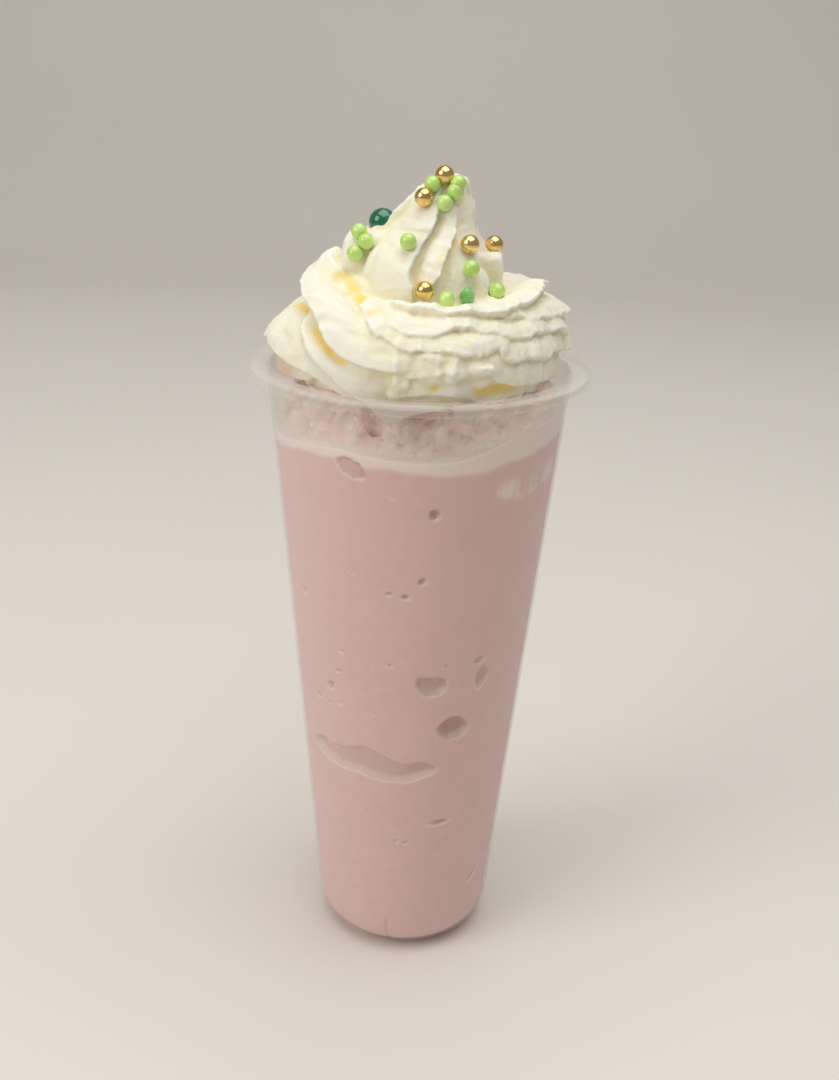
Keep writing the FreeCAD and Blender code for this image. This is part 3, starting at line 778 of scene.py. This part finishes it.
def finish_cream(ob):
    me = ob.data
    v, n = coords(me), normals(me)
    # the fins' side is rougher than the first lobes and the peak
    turn = np.degrees(np.arctan2(v[:, 0], -v[:, 1]))
    rough = np.clip(ease(-35, 5, turn) + ease(-100, -140, turn), 0, 1) * ease(216, 206, v[:, 2])
    rough = 0.35 + 0.65 * rough * (0.6 + 0.4 * noise(v, 7.0, 60))
    d = 0.10 * noise(v, 3.4, 62) + rough * (0.14 * noise(v, 1.6, 61) + 0.09 * noise(v, 0.85, 63))
    set_coords(me, v + n * d[:, None])
    # fewer triangles where the cream is smooth
    mod = ob.modifiers.new("fewer", "DECIMATE")
    mod.ratio = min(1.0, 190000 / (2.0 * len(me.polygons)))
    me = applied(ob)
    v, n, e = coords(me), normals(me), edges_of(me)
    # how hollow or how crested the surface is, read by the material as painted shade in the creases and a painted
    # highlight on the crests
    near = ((smoothed(v, e, 6) - v) * n).sum(1)
    far = ((smoothed(v, e, 60) - v) * n).sum(1)
    attribute(me, "crease_shade_crest_highlight", np.clip(0.9 * near / 0.25 + 0.6 * far / 0.9, -1, 1))
    pool = np.zeros(len(v))
    for a, b, r, w in POOLS:
        a, b = np.array(a, float), np.array(b, float)
        k = np.clip(((v - a) @ (b - a)) / max(((b - a) ** 2).sum(), 1e-9), 0, 1)
        dist = np.linalg.norm(v - a - k[:, None] * (b - a), axis=1)
        pool = np.maximum(pool, w * ease(r, r * 0.35, dist))
    attribute(me, "pool", pool)
    turn = np.degrees(np.arctan2(v[:, 0], -v[:, 1]))
    rough = np.clip(ease(-35, 5, turn) + ease(-100, -140, turn), 0, 1) * ease(216, 206, v[:, 2])
    attribute(me, "rough", 0.45 + 0.55 * rough)
    # painted shade on the cream's low left, inside the rim
    painted_shade_low_left = ease(-31, -35, v[:, 0]) * ease(187.5, 184.5, v[:, 2]) * ease(8, 2, v[:, 1])
    attribute(me, "painted_shade_low_left", painted_shade_low_left)
    set_coords(me, v + (0, 0, LIFT))
    return ob


# ------------------------------------------------------------------- camera
cam = bpy.data.cameras.new("camera")
cam_ob = bpy.data.objects.new("camera", cam)
bpy.context.scene.collection.objects.link(cam_ob)
PITCH, ROLL = 0.3781, 0.035
fw = Vector((0, math.cos(PITCH), -math.sin(PITCH)))
right = Vector((1, 0, 0))
up = right.cross(fw)
r2 = right * math.cos(ROLL) + up * math.sin(ROLL)
u2 = up * math.cos(ROLL) - right * math.sin(ROLL)
m = Matrix((r2, u2, -fw)).transposed().to_4x4()
m.translation = Vector((0.0339, -7.4858, 5.6811)) * (RIM * 0.001)
cam_ob.matrix_world = m
cam.sensor_width = 36.0
cam.lens = 1300.0 * 36.0 / 1080.0
cam.clip_start = 0.01
cam.clip_end = 20.0
bpy.context.scene.camera = cam_ob
bpy.context.scene.view_settings.view_transform = "Standard"

# ---------------------------------------------------------------- the pieces
CREAM = cream_material()
cream = finish_cream(build_cream())
cream.data.materials.clear()
cream.data.materials.append(CREAM)
cream.data.polygons.foreach_set("use_smooth", np.ones(len(cream.data.polygons), bool))
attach(cream, "root")
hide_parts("cream")
print("cream faces", len(cream.data.polygons))

CUP = cup_material()
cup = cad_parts["cup"]
cup.data.materials.clear()
cup.data.materials.append(CUP)


# ---------------------------------------------------------------- the drink
def inner_radius(z):
    """The inside of the cup's wall."""
    return FOOT_R + SLOPE * np.asarray(z, float) - WALL


def waver(turn):
    """A small unevenness that closes on itself round the cup."""
    t = np.asarray(turn, float)
    x, y = turned(t.ravel())
    p = np.stack([x, y, 0 * x], 1) * 40
    return (0.45 * noise(p, 9.0, 84) + 0.3 * noise(p, 3.5, 85)).reshape(t.shape)


def level(turn):
    """Height where the slush meets the wall."""
    return interp([(-180, 168.0), (-120, 167.5), (-72, 165.2), (-57, 166.6), (-29, 168.0), (-9.5, 166.8), (8.5, 166.8), (21.5, 168.0), (37, 171.2), (51.5, 173.3), (64, 174.3), (85, 174.4), (110, 174.0), (150, 170.0)], turn, 360) + LIFT + waver(turn)


def oval(turn, z, wide, high, tilt=0.0, depth=1.2, soft=0.5, dark=0.7, ring=0.0):
    return dict(turn=turn, z=z, wide=wide, high=high, tilt=tilt, depth=depth, soft=soft, dark=dark, ring=ring)


# air pockets against the wall: ovals (turn, height, width, height, tilt), with depth, softness, painted shade inside
# and a painted dark ring round the outline
POCKETS = [
    oval(-25.0, 162.5, 9.2, 5.0, -25, 0.38, 0.5, 0.04, 0.8),
    oval(7.8, 150.9, 2.4, 2.9, 10, 1.3, 0.5),
    oval(-8.4, 155.8, 0.9, 0.9, 0, 0.8, 0.3),
    oval(4.3, 131.4, 2.2, 1.8, 20, 1.1, 0.4),
    oval(-2.7, 126.4, 2.1, 1.5, 0, 1.1, 0.4),
    oval(-9.5, 127.1, 1.4, 1.1, 0, 0.9, 0.4),
    oval(-26.0, 131.9, 0.8, 0.8, 0, 0.6, 0.3),
    oval(-56.1, 120.2, 2.0, 2.2, 0, 1.0, 0.5),
    oval(-33.3, 105.9, 1.2, 1.1, 0, 0.8, 0.4),
    oval(-35.6, 99.1, 1.0, 0.9, 0, 0.8, 0.3),
    oval(-41.5, 93.3, 2.2, 2.8, -15, 1.0, 0.5),
    oval(-51.1, 87.6, 2.2, 1.6, 0, 1.0, 0.5),
    oval(-9.3, 104.5, 1.4, 1.1, 0, 0.8, 0.4),
    oval(16.6, 104.5, 1.0, 0.9, 0, 0.8, 0.3),
    oval(33.9, 104.4, 3.2, 1.7, 10, 1.1, 0.5),
    oval(36.7, 98.7, 3.6, 7.0, -14, 1.2, 0.6, 0.4),
    oval(19.7, 50.0, 5.6, 1.6, 3, 0.9, 0.4),
    oval(51.1, 24.3, 4.6, 2.2, 42, 0.9, 0.6),
    oval(-5.0, 43.5, 1.2, 1.0, 0, 0.7, 0.3),
    oval(0.9, 43.3, 1.2, 1.0, 0, 0.7, 0.3),
    oval(-43.1, 87.2, 0.9, 0.9, 0, 0.6, 0.3),
    oval(-35.4, 88.3, 0.8, 0.8, 0, 0.6, 0.3),
    oval(-17.5, 87.8, 1.0, 0.9, 0, 0.6, 0.3),
]
# pockets with an outline of (turn, height) corners; dark is painted shade inside them
OUTLINES = [
    dict(pts=[(4.6, 100.6), (11.0, 100.8), (17.2, 100.2), (17.6, 97.4), (14.6, 95.2), (9.4, 95.0), (5.2, 96.6)], depth=1.4, soft=0.6, dark=0.35),
    dict(pts=[(15.6, 83.6), (19.6, 86.2), (26.0, 86.8), (31.0, 83.8), (29.4, 80.6), (22.4, 79.6), (17.0, 80.8)], depth=1.7, soft=0.6, dark=1.0),
    dict(pts=[(-59.5, 70.6), (-52.0, 73.4), (-43.1, 72.8), (-33.5, 73.6), (-24.3, 75.7), (-18.0, 75.0), (-12.7, 73.7), (-4.7, 72.0), (1.6, 71.6), (7.2, 72.4), (14.9, 70.5), (15.4, 68.8), (8.0, 67.0), (1.3, 65.7), (-7.0, 65.4), (-16.1, 65.6), (-24.5, 66.6), (-33.2, 66.4), (-44.2, 67.0), (-54.0, 68.4)], depth=2.1, soft=1.2, dark=0.15),
]


def pocket_field(turn, z):
    """Depth of the pockets, painted shade inside them and round some outlines, and a painted highlight along their
    lower edge.
    """
    shape = turn.shape
    t, z = turn.ravel(), z.ravel()
    rad = inner_radius(z)
    depth = np.zeros(t.size)
    lower = np.zeros(t.size)
    dark = np.zeros(t.size)
    flat = np.stack([np.radians(t) * 38.0, z, np.zeros(t.size)], 1)
    rough = 0.22 * noise(flat, 1.6, 71) + 0.12 * noise(flat, 0.8, 72)
    for o in POCKETS:
        du = np.radians((t - o["turn"] + 180) % 360 - 180) * rad
        dz = z - o["z"]
        c, s = math.cos(math.radians(o["tilt"])), math.sin(math.radians(o["tilt"]))
        a, b = (du * c + dz * s) / (o["wide"] / 2), (-du * s + dz * c) / (o["high"] / 2)
        size = min(o["wide"], o["high"]) / 2
        gap = (np.sqrt(a * a + b * b) - 1) * size + rough * min(1.0, size / 2)
        inner = ease(o["soft"] * 0.4, -o["soft"], gap)
        depth = np.maximum(depth, o["depth"] * inner)
        # painted shade inside the pocket, and a painted dark ring round its outline
        dark = np.maximum(dark, np.maximum(o["dark"] * inner, o["ring"] * np.exp(-(((gap + 0.25) / 0.4) ** 2))))
        # painted highlight along the pocket's lower edge
        lower = np.maximum(lower, np.exp(-((gap / 0.45) ** 2)) * ease(0.2, -0.6, b))
    for o in OUTLINES:
        pts = np.array(o["pts"], float)
        mid = pts.mean(0)
        corner = np.stack([np.radians(pts[:, 0]) * inner_radius(mid[1]), pts[:, 1]], 1)
        # the outline with its corners softened
        k = np.arange(len(corner) + 1)
        closed = np.concatenate([corner, corner[:1]])
        fine = np.linspace(0, len(corner), 12 * len(corner) + 1)[:-1]
        period = len(corner)
        line = np.stack([interp(list(zip(k[:-1], corner[:, i])), fine, period) for i in range(2)], 1)
        p = np.stack([np.radians((t + 180) % 360 - 180) * rad, z], 1)
        near = (
            (p[:, 0] > line[:, 0].min() - 3)
            & (p[:, 0] < line[:, 0].max() + 3)
            & (p[:, 1] > line[:, 1].min() - 3)
            & (p[:, 1] < line[:, 1].max() + 3)
        )
        idx = np.nonzero(near)[0]
        q = p[idx]
        d2 = ((q[:, None] - line[None]) ** 2).sum(2)
        d = np.sqrt(d2.min(1))
        j = d2.argmin(1)
        a, b = line, np.roll(line, -1, 0)
        hit = ((a[None, :, 1] > q[:, None, 1]) != (b[None, :, 1] > q[:, None, 1])) & (
            q[:, None, 0]
            < (b[None, :, 0] - a[None, :, 0]) * (q[:, None, 1] - a[None, :, 1]) / (b[None, :, 1] - a[None, :, 1] + 1e-12) + a[None, :, 0]
        )
        insideit = hit.sum(1) % 2 == 1
        gap = np.where(insideit, -d, d) + rough[idx] * 0.8
        inner = ease(o["soft"] * 0.3, -o["soft"], gap)
        depth[idx] = np.maximum(depth[idx], o["depth"] * inner)
        # painted shade inside the outlined pocket
        dark[idx] = np.maximum(dark[idx], o["dark"] * inner)
        # painted highlight along the outlined pocket's lower edge
        below = ease(mid[1] + 0.5, mid[1] - 1.5, q[:, 1])
        lower[idx] = np.maximum(lower[idx], np.exp(-(((gap + 0.3) / 0.9) ** 2)) * below)
    return depth.reshape(shape), lower.reshape(shape), dark.reshape(shape)


def drink_profile(cols):
    """Rings of (radius, height) from the foot's middle to the middle of the top."""
    turn = np.linspace(-180, 180, cols, endpoint=False)
    grow = 0.22
    arc = 11.3 - WALL + grow
    low = WALL - grow
    rings = []
    for r in np.linspace(0.5, ARC_C[0], 14):
        rings.append((np.full(cols, r), np.full(cols, low)))
    for a in np.linspace(-90, math.degrees(math.atan(-SLOPE)), 22)[1:]:
        c, s = math.cos(math.radians(a)), math.sin(math.radians(a))
        rings.append((np.full(cols, ARC_C[0] + arc * c), np.full(cols, ARC_C[1] + arc * s)))
    start = rings[-1][1][0]
    top = level(turn)
    for k in np.linspace(0, 1, 250)[1:]:
        z = start + (top - 2.0 - start) * k
        rings.append((inner_radius(z) + grow, z))
    edge = inner_radius(top - 2.0) + grow
    for a in np.linspace(0, 1, 7)[1:]:
        rings.append((edge - 1.3 * a ** 1.8, top - 2.0 + 2.0 * a))
    for k in np.linspace(0, 1, 9)[1:]:
        rings.append(((edge - 1.5) * (1 - k) + 0.4 * k, top - 0.1 - 5.0 * k))
    return turn, rings


def build_drink():
    cols = 318
    turn, rings = drink_profile(cols)
    R = np.stack([r for r, _ in rings])
    Z = np.stack([z for _, z in rings])
    T = np.broadcast_to(turn, R.shape)
    depth, lower, dark = pocket_field(T, Z)
    on_wall = ease(3.0, 8.0, Z) * (np.arange(len(R)) < 14 + 21 + 249)[:, None]
    depth = depth * on_wall
    flat = np.stack([np.radians(T).ravel() * 38, Z.ravel(), np.zeros(T.size)], 1)
    R = R - depth - depth / np.maximum(depth.max(), 1) * 0.15 * noise(flat, 1.5, 75).reshape(R.shape)
    # slots round the cup's stacking ribs
    for k in range(3):
        off = np.radians((T - (RIB_TURN + 120 * k) + 180) % 360 - 180) * R
        slot = ease(0.85, 0.35, np.abs(off)) * ease(13.6, 12.6, Z) * ease(1.2, 2.4, Z)
        R = R - 0.45 * slot
    x, y = turned(T)
    verts = np.stack([R * x, R * y, Z], -1).reshape(-1, 3)
    faces = grid_faces(len(rings), cols, True)
    me = mesh_with_fans("pink_slush", verts, faces, cols, [np.array([0, 0, Z[0, 0]]), np.array([0, 0, Z[-1].mean()])])
    n = len(verts)
    pad = np.zeros(2)
    # painted shade in the pockets and a painted highlight along their lower lips
    attribute(me, "painted_hollow_shade", np.concatenate([(dark * on_wall).ravel(), pad]))
    attribute(me, "lower", np.concatenate([lower.ravel(), pad]))
    # the whitish film under the slush's edge, and a smear on the right
    under = interp([(-180, 4.0), (-100, 3.8), (-73, 3.8), (-29, 3.6), (-9.5, 3.9), (12, 4.6), (30.5, 7.2), (45.5, 8.4), (60, 8.0), (85, 7.0), (120, 5.0)], T, 360)
    wob = 0.6 * noise(flat, 6.0, 81).reshape(T.shape)
    top = np.broadcast_to(level(turn), Z.shape)
    band = ease(-under - 1.3, -under + 0.7, Z - top + wob)
    streaks = lambda lean, seed: np.clip(0.5 + 1.3 * noise(np.stack([(np.radians(T) * 38 + lean * Z).ravel(), Z.ravel() * 0.16, np.zeros(T.size)], 1), 1.0, seed).reshape(T.shape), 0, 1)
    low = np.interp(T, [32, 38, 46, 57, 62], [155.9, 153.9, 152.7, 154.2, 155.2])
    arc = np.exp(-(((Z - low) / 0.8) ** 2)) * ease(31, 34, T) * ease(63, 54, T)
    patch = np.exp(-(((T - 38) / 3.4) ** 2) - ((Z - 156.6) / 2.3) ** 2)
    veil = ease(-0.4, 0.8, Z - low) * ease(160.5, 156.5, Z) * ease(32, 36, T) * ease(62, 54, T)
    side = ease(153.6, 155.0, Z) * ease(162.0, 159.0, Z) * ease(56, 60, T) * ease(78, 72, T)
    smear = 0.5 * arc * (0.4 + 0.6 * streaks(0, 88)) + 1.0 * patch * (0.4 + 0.6 * streaks(0, 83)) + 0.5 * veil * streaks(0, 86) + 0.6 * side * streaks(-0.25, 87) ** 2
    attribute(me, "smear", np.concatenate([np.clip(smear * on_wall, 0, 0.9).ravel(), pad]))
    band = band * (1 - np.clip(depth / 0.25, 0, 1))
    attribute(me, "band", np.concatenate([np.clip(band * 0.95, 0, 1).ravel(), pad]))
    return put("pink_slush", me, DRINK)


RIB_TURN = -9.5


def froth_profile(d):
    """Height of the froth over the slush's edge at a distance from the wall."""
    return np.interp(d, [0.0, 0.5, 1.3, 2.4, 3.8, 5.6, 8.0, 12.0, 20.0, 40.0], [-2.5, -0.9, 1.4, 4.8, 8.4, 11.0, 12.4, 13.0, 13.0, 13.0])


def build_froth():
    cols, rows = 400, 110
    turn = np.linspace(-180, 180, cols, endpoint=False)
    d = np.concatenate([np.linspace(0.15, 16, rows - 16), np.linspace(16, 38.8, 17)[1:]])
    D, T = np.meshgrid(d, turn, indexing="ij")
    top = level(T)
    edge = inner_radius(top)
    # hollows where the froth stands further from the wall
    def hollow(turn0, wide, z0, high, deep):
        return deep * np.exp(-(((T - turn0 + 180) % 360 - 180) / wide) ** 2)
    back = hollow(-17.5, 5.5, 0, 0, 2.6) + hollow(25, 3.5, 0, 0, 1.2) + hollow(6, 9, 0, 0, 1.4) + hollow(84, 16, 0, 0, 1.5) + hollow(-120, 14, 0, 0, 2.0) + hollow(170, 20, 0, 0, 2.0)
    # the open space at the right, over the drink
    gap = hollow(91, 8.0, 0, 0, 6.0) * ease(0.0, 1.0, D) * ease(16, 9, D)
    z = top + froth_profile(np.clip(D - back * ease(1.6, 4.6, D) - gap, 0, 40))
    z -= 4.0 * ease(14, 24, D)
    x, y = turned(T)
    r = edge - D
    v = np.stack([r * x, r * y, z], -1).reshape(-1, 3)
    grad = np.gradient(froth_profile(d), d)
    slope = np.broadcast_to(grad[:, None], D.shape)
    nrm = np.stack([x * slope, y * slope, np.ones_like(x)], -1).reshape(-1, 3)
    nrm /= np.linalg.norm(nrm, axis=1)[:, None]
    lump = 0.9 * noise(v, 7.0, 91) + 0.75 * noise(v, 3.4, 92) + 0.5 * noise(v, 1.9, 93) + 0.26 * noise(v, 1.0, 94)
    pits = np.clip(-noise(v, 1.1, 95) - 0.45, 0, 1) * 1.4
    lump = lump - 0.5 - pits
    fade = ease(0.1, 2.2, D).ravel()
    v = v + nrm * (lump * fade)[:, None]
    # never through the wall
    rr = np.hypot(v[:, 0], v[:, 1])
    lim = inner_radius(v[:, 2]) - 0.12
    k = np.minimum(1, lim / np.maximum(rr, 1e-6))
    v[:, 0] *= k
    v[:, 1] *= k
    # a skirt down into the slush closes it below
    ring = v[:cols].copy()
    skirt = ring * (0.93, 0.93, 1) - (0, 0, 4.0)
    v = np.concatenate([skirt, v])
    faces = grid_faces(len(d) + 1, cols, True)
    me = mesh_with_fans("pink_froth", v, faces, cols, [skirt.mean(0), np.array([0, 0, v[-cols:, 2].mean()])])
    # painted shade in the froth's dips and in three hollows near the drips
    attribute(me, "painted_hollow_shade", np.concatenate([np.zeros(cols), np.clip(np.clip(-lump / 1.6, 0, 1) + ((0.8 * hollow(-17.5, 4.5, 0, 0, 1) + 0.6 * hollow(24.5, 3.0, 0, 0, 1) + 0.3 * hollow(1, 6.0, 0, 0, 1)) * ease(1.8, 3.6, D)).ravel(), 0, 1) * fade, np.zeros(2)]))
    return put("pink_froth", me, FROTH)


def build_drips():
    """Thin smears of cream down the inside of the wall, under the rim."""
    parts = []
    # (turn and height of the tip, reach and bend of each side)
    for turn, low, left, bend_left, right, bend_right in ((-9.1, 174.4, 4.9, 1.0, 6.9, 2.6), (19.7, 175.9, 4.9, 0.4, 2.9, 1.5)):
        n, m = 40, 30
        a, b = np.meshgrid(np.linspace(0, 1, m), np.linspace(-1, 1, n), indexing="ij")
        z = 181.0 - (181.0 - low) * a
        part = np.clip((z - low) / (178.9 - low), 0.004, 1.3)
        s = np.where(b < 0, b * left * part**bend_left, b * right * part**bend_right)
        s = s + 0.25 * np.sin(5 * a + turn) * a
        t = turn + np.degrees(s / inner_radius(z))
        thick = 1.5 * np.sqrt(np.clip(1 - b * b, 0, 1)) * np.clip(1.02 - a, 0, 1) ** 0.5 * (1 - 0.35 * a)
        out = inner_radius(z) + 0.12
        x, y = turned(t)
        front = np.stack([out * x, out * y, z], -1).reshape(-1, 3)
        inn = out - 0.14 - thick
        back = np.stack([inn * x, inn * y, z], -1).reshape(-1, 3)
        back[:, 2] += 0.2 * noise(back, 1.5, 55)
        f = grid_faces(m, n, False)
        faces = np.concatenate([f, f[:, ::-1] + m * n])
        rim = [i * n for i in range(m)] + [(m - 1) * n + j for j in range(1, n)] + [i * n + n - 1 for i in range(m - 2, -1, -1)] + [j for j in range(n - 2, 0, -1)]
        rim = np.array(rim)
        nxt = np.roll(rim, -1)
        side = np.stack([rim, nxt, nxt + m * n, rim + m * n], 1)
        parts.append(quads(np.concatenate([front, back]), np.concatenate([faces, side]), "drip"))
    me = joined("cream_drips", parts)
    bm = bmesh.new()
    bm.from_mesh(me)
    bmesh.ops.recalc_face_normals(bm, faces=bm.faces)
    bm.to_mesh(me)
    bm.free()
    ob = put("cream_drips", me, film_material())
    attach(ob, "root")
    return ob


build_drips()
DRINK = drink_material()
FROTH = froth_material()
drink = build_drink()
froth = build_froth()
for ob in (drink, froth):
    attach(ob, "root")
    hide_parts("drink")

# -------------------------------------------------------------- the toppings
from mathutils.bvhtree import BVHTree

deps = bpy.context.evaluated_depsgraph_get()
tree = BVHTree.FromObject(cream, deps)
EYE = np.array(cam_ob.matrix_world.translation) * 1000


def settle(target, radius, sink, straight=False):
    """The centre of a ball pressed into the cream near a target."""
    target = np.array(target, float) + (0, 0, LIFT)
    want = radius * (1 - sink)

    def gap(p):
        hit, normal, _, dist = tree.find_nearest(Vector(p * 0.001))
        out = 1 if (Vector(p * 0.001) - hit).dot(normal) > 0 else -1
        return dist * 1000 * out, np.array(hit) * 1000, np.array(normal)

    if not straight:
        ray = target - EYE
        length = np.linalg.norm(ray)
        ray /= length
        best, point = 1e9, target
        for t in np.arange(length - 22, length + 22, 0.12):
            p = EYE + ray * t
            g = gap(p)[0]
            if g < want:
                best, point = g, p
                break
            if g < best:
                best, point = g, p
        target = point
    g, hit, normal = gap(target)
    return hit + normal * want


def ball(radius, centre, cols=36, rows=18):
    return blob("ball", centre, (radius,) * 3, cols, rows)


GOLD_AT = [((4.9, -0.6, 232.8), 0), ((-0.3, -6.6, 227.6), 0), ((12.1, -9.2, 216.3), 0), ((18.8, 1.9, 213.0), 1), ((0.6, -21.6, 206.0), 1)]
GREEN_AT = [((1.8, -4, 230.8), 0), ((8.5, -4.6, 231.2), 0), ((7.8, -6.6, 229.4), 0), ((5.3, -8.3, 226.6), 0), ((-4, -13.1, 217.1), 0), ((12.7, -13.2, 210.9), 0), ((6.1, -20.4, 204.9), 1), ((19.9, -10.5, 204.0), 1), ((-17.6, 2.3, 216.9), 0), ((-15.5, -3.3, 215.2), 0), ((-18.5, -1.7, 211.7), 0)]

gold = put("gold_pearls", joined("gold_pearls", [ball(2.5, settle(p, 2.5, 0.3, bool(s))) for p, s in GOLD_AT]))
gold.data.materials.append(pearl_material("gold_sugar_pearl", linear(234, 198, 124), linear(244, 214, 150), 1.0, 0.2, 0.0))
green = put("green_pearls", joined("green_pearls", [ball(2.2, settle(p, 2.2, 0.3, bool(s))) for p, s in GREEN_AT]))
green.data.materials.append(pearl_material("green_sugar_pearl", linear(190, 225, 110), linear(206, 236, 140), 0.0, 0.3, 0.9, 0.16))


def crystal(centre, size):
    """A faceted drop with its point up."""
    cols = 8
    rings = [(-0.42, 0.30), (-0.18, 0.46), (0.06, 0.47), (0.30, 0.31), (0.45, 0.15)]
    a = np.linspace(0, 2 * math.pi, cols, endpoint=False)
    v = []
    for i, (h, r) in enumerate(rings):
        b = a + 0.2
        v.append(np.stack([np.cos(b) * r, np.sin(b) * r, np.full(cols, h)], 1))
    v = np.concatenate(v) * size + centre
    me = mesh_with_fans("crystal", v, grid_faces(len(rings), cols, True), cols, [centre - (0, 0, 0.56 * size), centre + (0, 0, 0.62 * size)])
    return me


at = settle((11.5, -18.2, 205.4), 1.8, 0.3, True)
gem = put("sugar_crystal", crystal(at + (0, 0, 0.4), 4.4), smooth=False)
gem.data.materials.append(pearl_material("green_crystal", linear(96, 170, 84), linear(140, 200, 120), 0.0, 0.12, 0.5))
for ob, slot in ((gold, "gold_pearl"), (green, "green_pearl"), (gem, "sugar_crystal")):
    for poly in ob.data.polygons:
        poly.use_smooth = ob is not gem
    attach(ob, "root")

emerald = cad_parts["ball"]
emerald.data.materials.clear()
emerald.data.materials.append(pearl_material("emerald_ball", linear(8, 100, 70), linear(18, 120, 88), 0.0, 0.12, 0.8))

# ------------------------------------------------------------------ the stage
s = RIM * 0.001 / 0.0475
floor_pts = [(-3.0, 0.0)]
for k in range(13):
    a = math.radians(-90 + 90 * k / 12)
    floor_pts.append((1.1 + 0.6 * math.cos(a), 0.6 + 0.6 * math.sin(a)))
floor_pts.append((1.7, 4.0))
xs = np.linspace(-4, 4, 9)
verts = [(x * 1000 * s, y * 1000 * s, z * 1000 * s) for y, z in floor_pts for x in xs]
fl = quads(verts, grid_faces(len(floor_pts), len(xs), False), "floor")
floor = put("floor", fl, floor_material())


def area(name, at, aim, size, power, colour=(1, 1, 1)):
    light = bpy.data.lights.new(name, "AREA")
    light.shape = "RECTANGLE"
    light.size, light.size_y = size
    light.energy = power
    light.color = colour
    ob = bpy.data.objects.new(name, light)
    bpy.context.scene.collection.objects.link(ob)
    ob.location = at
    ob.rotation_euler = (Vector(aim) - Vector(at)).to_track_quat("-Z", "Y").to_euler()
    return ob


area("key", (-1.15, -0.75, 0.95), (0, 0, 0.14), (0.9, 0.9), 8.6, (1.0, 0.985, 0.965))
area("top", (0.12, -0.1, 1.35), (0, 0, 0.1), (1.3, 1.3), 12.2, (1.0, 0.99, 0.975))
world = bpy.data.worlds.new("studio")
bpy.context.scene.world = world
world.use_nodes = True
bg = world.node_tree.nodes["Background"]
bg.inputs["Color"].default_value = (0.80, 0.78, 0.75, 1)
bg.inputs["Strength"].default_value = 0.33
